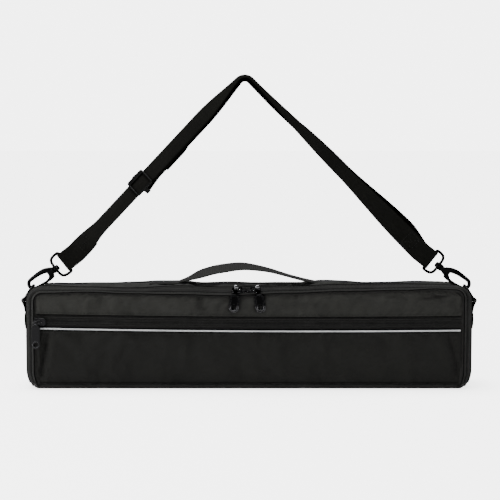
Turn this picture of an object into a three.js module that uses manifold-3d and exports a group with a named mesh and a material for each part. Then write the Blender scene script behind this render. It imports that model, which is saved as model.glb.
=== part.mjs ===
// A padded flute bag with a zipped front flap, a carry handle and a clip-on shoulder strap.
// Millimetres. X runs along the bag, the front faces -Y and Z is up. The origin is the centre of the bottom.
import * as THREE from 'three';
import { mergeVertices } from 'three/addons/utils/BufferGeometryUtils.js';
import Module from 'manifold-3d';

const wasm = await Module();
wasm.setup();

// Whole bag
const bagLength = 440;
const bagDepth = 66;
const bagHeight = 102;
const topCornerRadius = 26;
const frontCornerRadius = 8;
const bottomCornerRadius = 8;
const padThickness = 5;
const liningThickness = 0.8;
const edgeSoftness = 1.5;
const gap = 0.3;

// Zip band that rounds the front edge
const bandDepth = 13;
const bandSideInset = 9.6;
const bandTopInset = 7;
const tapeThickness = 1;
const tapeHem = 1.8;
const coilWidth = 1.9;
const coilHeight = 1.3;
const coilChamfer = 0.4;

// Front flap and its pocket
const flapPadThickness = 4.2;
const skinThickness = 1.2;
const pocketRoom = 3.3;
const pocketZipHeight = 67.3;
const pocketZipWidth = 12.8;
const pocketTapeOverlap = 3;
const pocketTapeThickness = 0.8;
const pipingDiameter = 2.2;
const pipingEndInset = 1.5;

// Zip sliders and pulls
const sliderLength = 11.5;
const sliderWidth = 8.6;
const sliderPlate = 1.2;
const sliderNose = 2.6;
const sliderSpacing = 3.2;
const stapleWire = 1.5;
const stapleRise = 2.4;
const knuckleWidth = 4.4;
const mainPullLength = 27.5;
const mainPullWidth = 9.4;
const mainPullThickness = 1.7;
const mainPullLean = 50;
const mainPullNeck = 6.8;
const pocketPullNeck = 3;
const pocketPullLength = 26;
const pocketPullWidth = 8.9;
const pocketPullThickness = 1.5;
const pullHoleDiameter = 4;
const pocketSliderInset = 4.1;
const pocketPullOffset = -2.4;

// Webbing and carry handle
const handleWidth = 25;
const handleThickness = 1.5;
const handleSpan = 128;
const handleAnchorLength = 33;
const handleRise = 16.5;
const handleGripLength = 76;
const handleArchPower = 1.8;

// Ring tabs and D-rings
const webbingWidth = 20;
const webbingThickness = 1.4;
const tabFoot = 58;
const ringWire = 3;
const ringBarHeight = 85.5;
const ringReach = 16.5;
const ringLean = 60;
const ringCornerRadius = 1.7;

// Snap hooks and swivel rings
const knobInset = 28.9;
const knobHeight = 118.1;
const hookAngle = 38.1;
const hookWire = 2.8;
const hookWidth = 9.6;
const hookTip = 29.4;
const hookCentre = 1.9;
const hookBodyEnd = 11;
const hookBodyThickness = 5.2;
const knobRadius = 3.4;
const shankRadius = 1.6;
const collarRadius = 4;
const collarThickness = 2.8;
const swivelWire = 2.4;
const swivelReach = 9.3;
const swivelSideRoom = 1;
const gateThickness = 2;
const gateWidth = 2.4;
const gatePinRadius = 0.9;
const gatePivotAlong = 8.2;
const gatePivotAcross = -0.9;
const gateTipAlong = 27.9;
const gateKnuckleRadius = 2.1;

// Shoulder strap
const strapPeakPlace = -4.3;
const strapPeakHeight = 310.8;
const strapPeakRadius = 9;
const strapKneeInset = 74;
const strapKneeHeight = 160;
const strapSewnLength = 36;
const strapLead = 14;
const strapSlideTwist = 46;
const strapPeakTwist = 80;
const strapRightTwist = 45;
const layerGap = 0.3;
const slideRoomUp = 12;
const slideCentre = 104;
const slideLoopSewn = 40;

// Tri-glide
const glideLength = 19;
const glideRail = 2.4;
const glideBar = 2.2;
const glideCentreBar = 2.4;

const halfLength = bagLength / 2;
const frontY = -bagDepth / 2;
const backY = bagDepth / 2;
const bandRearY = frontY + bandDepth;
const degrees = Math.PI / 180;
const knobPlace = halfLength - knobInset;
const strapKneePlace = strapKneeInset - halfLength;

// Materials: black woven polyester, darker lining, webbing, zip tape, black metal and a silver piping.
function makeMaterial(colour, roughness, metalness) {
  return new THREE.MeshStandardMaterial({ color: colour, roughness, metalness });
}
const fabric = () => makeMaterial(0x2b2c2b, 0.85, 0);
const skinFabric = () => makeMaterial(0x232422, 0.82, 0);
const liningFabric = () => makeMaterial(0x1a1a1c, 0.9, 0);
const webbing = () => makeMaterial(0x1d1e1d, 0.8, 0);
const zipTape = () => makeMaterial(0x161616, 0.75, 0);
const blackMetal = () => makeMaterial(0x121314, 0.3, 0.85);
const mattPaint = () => makeMaterial(0x2a2b2c, 0.55, 0.4);
const reflective = () => makeMaterial(0xb4b6b8, 0.35, 0.3);
const blackPlastic = () => makeMaterial(0x151515, 0.5, 0);

// Joins rings of points into one closed solid. A ring is a list of Vector3; capPlan triangulates the ends.
function loft(rings, capPlan) {
  const sides = rings[0].length;
  const positions = rings.flat().flatMap((point) => [point.x, point.y, point.z]);
  const faces = [];
  const last = capPlan ? rings.length - 1 : rings.length;
  for (let ring = 0; ring < last; ring += 1) {
    const next = (ring + 1) % rings.length;
    for (let side = 0; side < sides; side += 1) {
      const a = ring * sides + side;
      const b = ring * sides + ((side + 1) % sides);
      const c = next * sides + side;
      const d = next * sides + ((side + 1) % sides);
      faces.push(a, b, d, a, d, c);
    }
  }
  if (capPlan) {
    const top = (rings.length - 1) * sides;
    const planTurn = Math.sign(THREE.ShapeUtils.area(capPlan));
    for (const [a, second, third] of THREE.ShapeUtils.triangulateShape(capPlan, [])) {
      const turn = Math.sign(THREE.ShapeUtils.area([capPlan[a], capPlan[second], capPlan[third]]));
      const same = turn === planTurn;
      const [b, c] = same ? [second, third] : [third, second];
      faces.push(a, c, b, top + a, top + b, top + c);
    }
  }
  return facingOut(positions, faces);
}

// Turns every face round when the closed mesh was built inside out.
function facingOut(positions, faces) {
  const corner = (index) => new THREE.Vector3().fromArray(positions, index * 3);
  let volume = 0;
  for (let face = 0; face < faces.length; face += 3) {
    const [a, b, c] = [corner(faces[face]), corner(faces[face + 1]), corner(faces[face + 2])];
    volume += a.dot(b.cross(c));
  }
  const ordered = volume < 0 ? faces.slice().reverse() : faces;
  const geometry = new THREE.BufferGeometry();
  geometry.setAttribute('position', new THREE.Float32BufferAttribute(positions, 3));
  geometry.setIndex(ordered);
  return geometry;
}

function toSolid(geometry) {
  const bare = geometry.clone();
  bare.deleteAttribute('normal');
  bare.deleteAttribute('uv');
  const merged = mergeVertices(bare);
  const vertProperties = new Float32Array(merged.getAttribute('position').array);
  const triVerts = new Uint32Array(merged.getIndex().array);
  return new wasm.Manifold(new wasm.Mesh({ numProp: 3, vertProperties, triVerts }));
}

function toGeometry(solid) {
  const mesh = solid.getMesh();
  const geometry = new THREE.BufferGeometry();
  geometry.setAttribute('position', new THREE.Float32BufferAttribute(mesh.vertProperties, 3));
  geometry.setIndex([...mesh.triVerts]);
  return geometry;
}

function joined(...geometries) {
  return toGeometry(geometries.map(toSolid).reduce((whole, piece) => whole.add(piece)));
}

function cutFrom(geometry, ...cutters) {
  return toGeometry(cutters.reduce((whole, cutter) => whole.subtract(toSolid(cutter)), toSolid(geometry)));
}

function kept(geometry, keeper) {
  return toGeometry(toSolid(geometry).intersect(toSolid(keeper)));
}

function box(fromX, toX, fromY, toY, fromZ, toZ) {
  const shape = new THREE.BoxGeometry(toX - fromX, toY - fromY, toZ - fromZ);
  return shape.translate((fromX + toX) / 2, (fromY + toY) / 2, (fromZ + toZ) / 2);
}

// A round bar along X, Y or Z about a centre.
function bar(axis, radius, length, x, y, z, sides = 14) {
  const shape = new THREE.CylinderGeometry(radius, radius, length, sides);
  if (axis === 'x') shape.rotateZ(Math.PI / 2);
  if (axis === 'z') shape.rotateX(Math.PI / 2);
  return shape.translate(x, y, z);
}

function addMesh(parent, name, geometry, material) {
  const mesh = new THREE.Mesh(geometry, material);
  mesh.name = name;
  parent.add(mesh);
  return mesh;
}

// How far the rounded bottom corner has pulled the bag's end in at a height.
function cornerPull(height) {
  const drop = Math.max(bottomCornerRadius - height, 0);
  return bottomCornerRadius - Math.sqrt(bottomCornerRadius ** 2 - drop ** 2);
}

// Outline of the ends and the top, seen from the front and open below; the right half mirrors the left.
function upperOutline(side, top, radius, startHeight) {
  const left = [];
  const cornerSteps = 8;
  const footSteps = 3;
  for (let step = 0; step <= footSteps; step += 1) {
    const height = startHeight + ((bottomCornerRadius - startHeight) * step) / footSteps;
    left.push([-halfLength + side + cornerPull(height), height]);
  }
  const centreX = -halfLength + side + radius;
  const centreZ = bagHeight - top - radius;
  for (let step = 0; step <= cornerSteps; step += 1) {
    const turn = (Math.PI / 2) * (step / cornerSteps);
    left.push([centreX - radius * Math.cos(turn), centreZ + radius * Math.sin(turn)]);
  }
  return left.concat(left.map(([x, z]) => [-x, z]).reverse());
}

// A closed outline with rounded top and bottom corners.
function wholeOutline(side, top, bottom, topRadius) {
  const left = [];
  const steps = 8;
  const lowRadius = bottomCornerRadius;
  for (let step = 0; step <= steps; step += 1) {
    const turn = (Math.PI / 2) * (step / steps);
    const x = -halfLength + side + lowRadius - lowRadius * Math.sin(turn);
    left.push([x, bottom + lowRadius - lowRadius * Math.cos(turn)]);
  }
  for (let step = 0; step <= steps; step += 1) {
    const turn = (Math.PI / 2) * (step / steps);
    const x = -halfLength + side + topRadius - topRadius * Math.cos(turn);
    left.push([x, bagHeight - top - topRadius + topRadius * Math.sin(turn)]);
  }
  return left.concat(left.map(([x, z]) => [-x, z]).reverse());
}

// Sweeps a section round the upper outline. A section point is { side, top, radius, y }.
function roundTheBag(section, startHeight) {
  const outlines = section.map((point) => upperOutline(point.side, point.top, point.radius, startHeight));
  const rings = outlines[0].map((_, station) =>
    section.map((point, index) => {
      const [x, z] = outlines[index][station];
      return new THREE.Vector3(x, point.y, z);
    }),
  );
  const capPlan = section.map((point) => new THREE.Vector2(point.side, point.y));
  return loft(rings, capPlan);
}

// Stacks closed outlines from front to back. A level is { y, outline }.
function stackOutlines(levels) {
  const rings = levels.map(({ y, outline }) => outline.map(([x, z]) => new THREE.Vector3(x, y, z)));
  return loft(rings, levels[0].outline.map(([x, z]) => new THREE.Vector2(x, z)));
}

const bottomSeam = padThickness + gap;
const cornerAt = (inset) => Math.max(topCornerRadius - inset, gap);

// Body of the bag
function makeBackPanel() {
  const face = (inset) => wholeOutline(inset, inset, inset, topCornerRadius - inset);
  return stackOutlines([
    { y: backY - padThickness, outline: face(0) },
    { y: backY - edgeSoftness, outline: face(0) },
    { y: backY, outline: face(edgeSoftness) },
  ]);
}

function makeBottomPanel() {
  const sole = (side, bottom) => {
    const left = [];
    const steps = 6;
    for (let step = 0; step <= steps; step += 1) {
      const height = bottom + (padThickness - bottom) * (1 - step / steps) ** 2;
      left.push([-halfLength + side + cornerPull(height), height]);
    }
    return left.concat(left.map(([x, z]) => [-x, z]).reverse());
  };
  return stackOutlines([
    { y: frontY, outline: sole(bandSideInset, edgeSoftness) },
    { y: frontY + edgeSoftness, outline: sole(bandSideInset - edgeSoftness / 2, 0) },
    { y: bandRearY, outline: sole(0, 0) },
    { y: backY - padThickness - gap, outline: sole(0, 0) },
  ]);
}

function makeGusset() {
  const from = bandRearY + gap;
  const to = backY - padThickness - gap;
  const point = (inset, y) => ({ side: inset, top: inset, radius: cornerAt(inset), y });
  const section = [
    point(padThickness, from),
    point(edgeSoftness, from),
    point(0, from + edgeSoftness),
    point(0, to),
    point(padThickness, to),
  ];
  return roundTheBag(section, bottomSeam);
}

function makeLining() {
  const outer = padThickness + gap;
  const inner = outer + liningThickness;
  const from = bandRearY + gap;
  const to = backY - padThickness - gap;
  const outline = (inset) => wholeOutline(inset, inset, inset, topCornerRadius - inset);
  const shell = stackOutlines([{ y: from, outline: outline(outer) }, { y: to, outline: outline(outer) }]);
  const room = stackOutlines([
    { y: from - liningThickness, outline: outline(inner) },
    { y: to - liningThickness, outline: outline(inner) },
  ]);
  return cutFrom(shell, room);
}

// Zip band: t runs over the band from its rear edge to its front edge, n stands out from it.
const bandWidth = Math.hypot(bandDepth, (bandSideInset + bandTopInset) / 2);
const bandTilt = Math.atan2((bandSideInset + bandTopInset) / 2, bandDepth);

function bandPoint(t, n) {
  const share = t / bandWidth;
  const lift = n * Math.cos(bandTilt);
  return {
    side: bandSideInset * share - lift,
    top: bandTopInset * share - lift,
    radius: topCornerRadius + (frontCornerRadius - topCornerRadius) * share + lift,
    y: bandRearY - bandDepth * share - n * Math.sin(bandTilt),
  };
}

function makeRearTape() {
  const end = (bandWidth - gap) / 2;
  const foot = end - coilWidth;
  const section = [
    bandPoint(tapeThickness, -tapeThickness),
    bandPoint(tapeThickness, 0),
    bandPoint(foot, 0),
    bandPoint(foot + coilChamfer, coilHeight),
    bandPoint(end - coilChamfer, coilHeight),
    bandPoint(end, coilHeight - coilChamfer),
    bandPoint(end, -tapeThickness),
  ];
  return roundTheBag(section, bottomSeam);
}

function makeFrontTape() {
  const start = (bandWidth + gap) / 2;
  const foot = start + coilWidth;
  const end = bandWidth - tapeHem;
  const section = [
    bandPoint(start, -tapeThickness),
    bandPoint(start, coilHeight - coilChamfer),
    bandPoint(start + coilChamfer, coilHeight),
    bandPoint(foot - coilChamfer, coilHeight),
    bandPoint(foot, 0),
    bandPoint(end, 0),
    bandPoint(end, -tapeThickness),
  ];
  return roundTheBag(section, bottomSeam);
}

// Front flap
const skinBackY = frontY + skinThickness + pocketRoom;
const flapPadFrontY = skinBackY + gap;
const flapPadBackY = flapPadFrontY + flapPadThickness;

function flapOutline(inset) {
  const side = bandSideInset + gap + inset;
  const top = bandTopInset + gap + inset;
  return wholeOutline(side, top, bottomSeam + inset, frontCornerRadius);
}

function makeFlapPad() {
  return stackOutlines([
    { y: flapPadFrontY, outline: flapOutline(0) },
    { y: flapPadBackY - edgeSoftness, outline: flapOutline(0) },
    { y: flapPadBackY, outline: flapOutline(edgeSoftness) },
  ]);
}

function makeFlapLining() {
  const from = flapPadBackY + gap;
  return stackOutlines([
    { y: from, outline: flapOutline(edgeSoftness) },
    { y: from + liningThickness, outline: flapOutline(edgeSoftness) },
  ]);
}

// The outer fabric is a shallow tray whose rim meets the padding; the pocket zip splits it.
function makeSkin(fromZ, toZ) {
  const tray = stackOutlines([
    { y: frontY, outline: flapOutline(skinThickness / 2) },
    { y: frontY + skinThickness / 2, outline: flapOutline(0) },
    { y: skinBackY, outline: flapOutline(0) },
  ]);
  const room = stackOutlines([
    { y: frontY + skinThickness, outline: flapOutline(skinThickness) },
    { y: skinBackY + skinThickness, outline: flapOutline(skinThickness) },
  ]);
  const slice = box(-bagLength, bagLength, -bagDepth, bagDepth, fromZ, toZ);
  return kept(cutFrom(tray, room), slice);
}

const stripBottom = pocketZipHeight + pocketZipWidth / 2;
const pipingCentre = pocketZipHeight - pocketZipWidth / 2 - pipingDiameter / 2;
const pocketTop = pipingCentre - pipingDiameter / 2 - gap;
const pocketHalfLength = halfLength - bandSideInset - 2 * gap - skinThickness;

// One half of the pocket zip: a flat tape behind the fabric with its coil standing forward.
function makePocketTape(direction) {
  const tapeFront = frontY + skinThickness + gap;
  const inner = pocketZipHeight + (direction * gap) / 2;
  const foot = inner + direction * coilWidth;
  const outer = pocketZipHeight + direction * (pocketZipWidth / 2 + pocketTapeOverlap);
  const profile = [
    [tapeFront + pocketTapeThickness, inner],
    [tapeFront - coilHeight + coilChamfer, inner],
    [tapeFront - coilHeight, inner + direction * coilChamfer],
    [tapeFront - coilHeight, foot - direction * coilChamfer],
    [tapeFront, foot],
    [tapeFront, outer],
    [tapeFront + pocketTapeThickness, outer],
  ];
  const ends = [-pocketHalfLength, pocketHalfLength];
  const rings = ends.map((x) => profile.map(([y, z]) => new THREE.Vector3(x, y, z)));
  return loft(rings, profile.map(([y, z]) => new THREE.Vector2(y, z)));
}

const pipingY = frontY + skinThickness - gap - pipingDiameter / 2;

function makePiping() {
  const length = 2 * (pocketHalfLength - pipingEndInset);
  return bar('x', pipingDiameter / 2, length, 0, pipingY, pipingCentre, 12);
}

// Sliders. The local frame has X along the zip, Y across it towards the pull and Z out of the plate.
function makeSlider(pullOffset) {
  const half = sliderLength / 2;
  const wide = sliderWidth / 2;
  const outline = new THREE.Shape();
  outline.moveTo(-half, -wide + sliderNose);
  outline.quadraticCurveTo(-half, -wide, -half + sliderNose, -wide);
  outline.lineTo(half - sliderNose, -wide + sliderNose / 2);
  outline.quadraticCurveTo(half, -wide + sliderNose / 2, half, -wide + sliderNose);
  outline.lineTo(half, wide - sliderNose);
  outline.quadraticCurveTo(half, wide - sliderNose / 2, half - sliderNose, wide - sliderNose / 2);
  outline.lineTo(-half + sliderNose, wide);
  outline.quadraticCurveTo(-half, wide, -half, wide - sliderNose);
  outline.closePath();
  const plate = new THREE.ExtrudeGeometry(outline, {
    depth: sliderPlate, bevelEnabled: false, curveSegments: 4,
  });
  const postPlace = (knuckleWidth + stapleWire) / 2 + gap;
  const height = sliderPlate + stapleRise;
  const wire = bar('x', stapleWire / 2, 2 * postPlace + stapleWire, pullOffset, 0, height, 10);
  const posts = [-1, 1].map((sign) => {
    const x = pullOffset + sign * postPlace;
    const reach = stapleWire / 2;
    return box(x - reach, x + reach, -reach, reach, sliderPlate / 2, height + stapleWire / 3);
  });
  return joined(plate, wire, ...posts);
}

// A pull hangs along -Z from a knuckle about the X axis, with its broad face towards -Y.
function makePull(length, width, thickness, bend, neck) {
  const knuckleRadius = stapleWire / 2 + gap + thickness / 2;
  const knuckle = bar('x', knuckleRadius, knuckleWidth, 0, 0, 0, 16);
  const bore = bar('x', stapleWire / 2 + gap, 2 * knuckleWidth, 0, 0, 0, 12);
  const armHalf = knuckleWidth / 2;
  const arm = box(-armHalf, armHalf, -thickness / 2, thickness / 2, -neck, -stapleWire / 2);
  arm.rotateX(-bend * degrees);
  const reachY = -neck * Math.sin(bend * degrees);
  const reachZ = -neck * Math.cos(bend * degrees);
  const half = width / 2;
  const holeCentre = half + neck - length;
  const outline = new THREE.Shape();
  outline.moveTo(-armHalf, 0);
  outline.quadraticCurveTo(-half, 0, -half, -thickness * 2);
  outline.lineTo(-half, holeCentre);
  outline.absarc(0, holeCentre, half, Math.PI, 2 * Math.PI);
  outline.lineTo(half, -thickness * 2);
  outline.quadraticCurveTo(half, 0, armHalf, 0);
  outline.closePath();
  const hole = new THREE.Path();
  hole.absarc(0, holeCentre, pullHoleDiameter / 2, 0, 2 * Math.PI, true);
  outline.holes.push(hole);
  const settings = { depth: thickness, bevelEnabled: false, curveSegments: 7 };
  const blade = new THREE.ExtrudeGeometry(outline, settings);
  const overlap = (thickness / 2) * Math.sin(bend * degrees);
  blade.rotateX(Math.PI / 2).translate(0, reachY + thickness / 2, reachZ + overlap);
  return cutFrom(joined(knuckle, arm, blade), bore);
}

// Flat webbing. A station is { at, across, out }: its centre, its width direction and its face direction.
function ribbon(stations, width, thickness) {
  const corners = [[-1, -1], [1, -1], [1, 1], [-1, 1]].map(([u, v]) => [u * width / 2, v * thickness / 2]);
  const rings = stations.map(({ at, across, out }) =>
    corners.map(([u, v]) => at.clone().addScaledVector(across, u).addScaledVector(out, v)),
  );
  const capPlan = corners.map(([u, v]) => new THREE.Vector2(u, v));
  return loft(rings, capPlan);
}

// Stations along points of the XZ plane with the width along Y.
function flatStations(points) {
  return points.map(([x, z], index) => {
    const before = points[Math.max(index - 1, 0)];
    const after = points[Math.min(index + 1, points.length - 1)];
    const along = new THREE.Vector2(after[0] - before[0], after[1] - before[1]).normalize();
    return {
      at: new THREE.Vector3(x, 0, z),
      across: new THREE.Vector3(0, 1, 0),
      out: new THREE.Vector3(-along.y, 0, along.x),
    };
  });
}

// Round wire along points of a plane; toSpace turns a plane point and a height above it into space.
function wire(points, radius, sides, closed, toSpace) {
  const count = points.length;
  const rings = points.map(([p, q], index) => {
    const before = points[closed ? (index + count - 1) % count : Math.max(index - 1, 0)];
    const after = points[closed ? (index + 1) % count : Math.min(index + 1, count - 1)];
    const along = new THREE.Vector2(after[0] - before[0], after[1] - before[1]).normalize();
    const ring = [];
    for (let side = 0; side < sides; side += 1) {
      const turn = (2 * Math.PI * side) / sides;
      const reach = radius * Math.cos(turn);
      ring.push(toSpace(p - along.y * reach, q + along.x * reach, radius * Math.sin(turn)));
    }
    return ring;
  });
  const circle = rings[0].map((_, side) => {
    const turn = (2 * Math.PI * side) / sides;
    return new THREE.Vector2(Math.cos(turn), Math.sin(turn));
  });
  return loft(rings, closed ? null : circle);
}

function arcPoints(centreP, centreQ, radius, from, to, steps) {
  const points = [];
  for (let step = 0; step <= steps; step += 1) {
    const turn = (from + ((to - from) * step) / steps) * degrees;
    points.push([centreP + radius * Math.cos(turn), centreQ + radius * Math.sin(turn)]);
  }
  return points;
}

// Carry handle
const handleBase = bagHeight + gap + handleThickness / 2;

function handlePoint(x) {
  const share = Math.min(Math.abs(x) / (handleSpan / 2), 1);
  return [x, handleBase + handleRise * (1 - share ** handleArchPower)];
}

function makeHandleStretch(from, to, steps) {
  const points = [];
  for (let step = 0; step <= steps; step += 1) {
    points.push(handlePoint(from + ((to - from) * step) / steps));
  }
  return ribbon(flatStations(points), handleWidth, handleThickness);
}

function makeHandleEnd(direction) {
  const inner = (direction * handleSpan) / 2;
  const outer = inner + direction * handleAnchorLength;
  const points = [[inner, handleBase], [outer, handleBase]];
  return ribbon(flatStations(points), handleWidth, handleThickness);
}

// Ring tab and D-ring, built at the right end and turned half a turn about Z for the left.
const loopRadius = ringWire / 2 + gap + webbingThickness / 2;
const ringBarPlace = halfLength + gap + webbingThickness / 2 + loopRadius + gap / 2;

function makeRingTab() {
  const innerLeg = halfLength + gap + webbingThickness / 2;
  const outerLeg = innerLeg + webbingThickness + gap;
  const legTurn = ringBarHeight - 2 * loopRadius;
  const loop = arcPoints(ringBarPlace, ringBarHeight, loopRadius, 180, 0, 10);
  const points = [[innerLeg, tabFoot], [innerLeg, legTurn], ...loop, [outerLeg + gap, legTurn - loopRadius],
    [outerLeg, legTurn - 2 * loopRadius], [outerLeg, tabFoot]];
  return ribbon(flatStations(points), webbingWidth, webbingThickness);
}

function makeDRing() {
  const half = webbingWidth / 2 + gap + ringWire / 2;
  const round = half;
  const corner = ringCornerRadius;
  const points = [
    ...arcPoints(-half + corner, corner, corner, 180, 270, 4),
    ...arcPoints(half - corner, corner, corner, 270, 360, 4),
    ...arcPoints(0, ringReach - round, round, 0, 180, 14),
  ];
  return wire(points, ringWire / 2, 8, true, (p, q, r) => new THREE.Vector3(r, p, q));
}

// Snap hook in its own plane: u runs from the swivel to the tip, v away from the gate, w is its thickness.
const inHook = (u, v, w) => new THREE.Vector3(u, w, v);
const hookOuter = hookCentre + hookWidth / 2;
const hookInner = hookCentre - hookWidth / 2;

function extrudeInHook(shape, thickness, segments = 6) {
  const settings = { depth: thickness, bevelEnabled: false, curveSegments: segments };
  const solid = new THREE.ExtrudeGeometry(shape, settings);
  return solid.rotateX(Math.PI / 2).translate(0, thickness / 2, 0);
}

function makeHookBody() {
  const bow = [
    [hookBodyEnd / 2, hookCentre],
    [hookBodyEnd - hookWire / 2, hookOuter - hookWire],
    [hookBodyEnd + hookWire, hookOuter - hookWire / 3],
    [(hookBodyEnd + hookTip) / 2 + hookWire, hookOuter],
    ...arcPoints(hookTip, hookCentre, hookWidth / 2, 90, -100, 13),
  ];
  const blob = new THREE.Shape();
  blob.moveTo(0, -knobRadius);
  blob.lineTo(0, knobRadius);
  blob.quadraticCurveTo(hookBodyEnd / 3, knobRadius / 2, hookBodyEnd / 2, knobRadius);
  blob.lineTo(hookBodyEnd, hookOuter + hookWire / 3);
  blob.lineTo(hookBodyEnd + hookWire, hookOuter - hookWire);
  blob.quadraticCurveTo(hookBodyEnd, hookCentre, hookBodyEnd + hookWire / 2, gatePivotAcross - hookWire);
  blob.lineTo(hookBodyEnd / 2, -knobRadius);
  blob.quadraticCurveTo(hookBodyEnd / 3, -knobRadius / 2, 0, -knobRadius);
  const body = extrudeInHook(blob, hookBodyThickness);
  const slotFrom = gatePivotAlong - gateKnuckleRadius - gap;
  const slotHalf = gateWidth / 2 + gap;
  const slot = box(slotFrom, hookBodyEnd * 2, -slotHalf, slotHalf, -hookWidth, hookCentre);
  const holeRadius = gatePinRadius + gap;
  const pinHole = bar('y', holeRadius, 2 * hookBodyThickness, gatePivotAlong, 0, gatePivotAcross, 12);
  const shank = bar('x', shankRadius, collarThickness + 3 * gap, -(collarThickness + gap) / 2, 0, 0);
  const headPlace = -collarThickness - 2 * gap - shankRadius / 2;
  const head = bar('x', (shankRadius + collarRadius) / 2, shankRadius, headPlace, 0, 0);
  const rod = wire(bow, hookWire / 2, 10, false, inHook);
  return joined(cutFrom(body, slot, pinHole), rod, shank, head);
}

function makeGate() {
  const half = gateThickness / 2;
  const bendAlong = gatePivotAlong + 3 * gateThickness;
  const curveAlong = bendAlong - gateThickness;
  const backAcross = gatePivotAcross - half;
  const shape = new THREE.Shape();
  shape.moveTo(gatePivotAlong, gatePivotAcross + half);
  shape.quadraticCurveTo(curveAlong, gatePivotAcross, bendAlong, hookInner + half);
  shape.lineTo(gateTipAlong, hookInner + half);
  shape.lineTo(gateTipAlong, hookInner - half);
  shape.lineTo(bendAlong, hookInner - half);
  shape.quadraticCurveTo(curveAlong, backAcross - half, gatePivotAlong, backAcross);
  shape.closePath();
  const blade = extrudeInHook(shape, gateWidth);
  const knuckle = bar('y', gateKnuckleRadius, gateWidth, gatePivotAlong, 0, gatePivotAcross, 16);
  const bore = bar('y', gatePinRadius + gap, 2 * gateWidth, gatePivotAlong, 0, gatePivotAcross, 12);
  return cutFrom(joined(blade, knuckle), bore);
}

function makeGatePin() {
  return bar('y', gatePinRadius, hookBodyThickness, gatePivotAlong, 0, gatePivotAcross, 12);
}

function makeSwivelRing() {
  const half = webbingWidth / 2 + swivelSideRoom + swivelWire / 2;
  const corner = swivelWire / 2 + gap;
  const neckAlong = -gap - collarThickness / 2;
  const shoulder = -swivelReach + corner;
  const points = [
    [neckAlong, -collarRadius + swivelWire / 2],
    [neckAlong - swivelWire / 2, -half + corner],
    ...arcPoints(shoulder, -half + corner, corner, 270, 180, 3),
    ...arcPoints(shoulder, half - corner, corner, 180, 90, 3),
    [neckAlong - swivelWire / 2, half - corner],
    [neckAlong, collarRadius - swivelWire / 2],
  ];
  const loop = wire(points, swivelWire / 2, 8, true, inHook);
  const collar = bar('x', collarRadius, collarThickness, neckAlong, 0, 0, 16);
  const bore = bar('x', shankRadius + gap, 3 * collarThickness, neckAlong, 0, 0, 12);
  return cutFrom(joined(loop, collar), bore);
}

// Shoulder strap: its middle line lies in the XZ plane, from the left swivel ring over the peak to the right.
const hookTurn = hookAngle * degrees;
const strapEndPlace = knobPlace - swivelReach * Math.cos(hookTurn);
const strapEndHeight = knobHeight + swivelReach * Math.sin(hookTurn);

function filletAt(before, corner, after, radius) {
  const back = before.clone().sub(corner).normalize();
  const ahead = after.clone().sub(corner).normalize();
  const half = back.angleTo(ahead) / 2;
  const reach = radius / Math.tan(half);
  const centre = back.clone().add(ahead).normalize().multiplyScalar(radius / Math.sin(half)).add(corner);
  const start = corner.clone().addScaledVector(back, reach);
  const end = corner.clone().addScaledVector(ahead, reach);
  return { centre, start, end };
}

function makeStrapRoute() {
  const left = new THREE.Vector2(-strapEndPlace, strapEndHeight);
  const knee = new THREE.Vector2(strapKneePlace, strapKneeHeight);
  const peak = new THREE.Vector2(strapPeakPlace, strapPeakHeight);
  const right = new THREE.Vector2(strapEndPlace, strapEndHeight);
  const lead = new THREE.Vector2(Math.cos(hookTurn), Math.sin(hookTurn)).multiplyScalar(strapLead);
  const leftLead = left.clone().add(lead);
  const rightLead = new THREE.Vector2(right.x - lead.x, right.y + lead.y);
  const { centre, start, end } = filletAt(knee, peak, rightLead, strapPeakRadius);
  const from = Math.atan2(start.y - centre.y, start.x - centre.x);
  const to = Math.atan2(end.y - centre.y, end.x - centre.x);
  const route = new THREE.Path();
  route.moveTo(left.x, left.y);
  route.lineTo(leftLead.x, leftLead.y);
  route.lineTo(knee.x, knee.y);
  route.lineTo(start.x, start.y);
  route.absarc(centre.x, centre.y, strapPeakRadius, from, to, true);
  route.lineTo(rightLead.x, rightLead.y);
  route.lineTo(right.x, right.y);
  return route;
}

const strapRoute = makeStrapRoute();
const strapLength = strapRoute.getLength();
const kneeDistance = Math.hypot(strapEndPlace + strapKneePlace, strapKneeHeight - strapEndHeight);
const peakDistance = kneeDistance
  + Math.hypot(strapPeakPlace - strapKneePlace, strapPeakHeight - strapKneeHeight);
const legLength = 2 * slideLoopSewn;
const slideZoneEnd = slideCentre + legLength + slideRoomUp + gap;

// Twist of the webbing in degrees: 0 shows its face to the front, 90 turns the face up.
function twistAt(distance) {
  const stops = [
    [0, 0], [strapLead, 0], [kneeDistance, strapSlideTwist], [slideZoneEnd, strapSlideTwist],
    [peakDistance, strapPeakTwist], [(peakDistance + strapLength) / 2, strapRightTwist],
    [strapLength - strapLead, 0], [strapLength, 0],
  ];
  return stepBetween(stops, distance);
}

// Smooth steps through a list of [place, value] stops.
function stepBetween(stops, place) {
  const next = stops.findIndex(([at]) => at >= place);
  if (next === 0) return stops[0][1];
  if (next < 0) return stops[stops.length - 1][1];
  const [fromPlace, fromValue] = stops[next - 1];
  const [toPlace, toValue] = stops[next];
  return fromValue + (toValue - fromValue) * THREE.MathUtils.smoothstep(place, fromPlace, toPlace);
}

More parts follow.
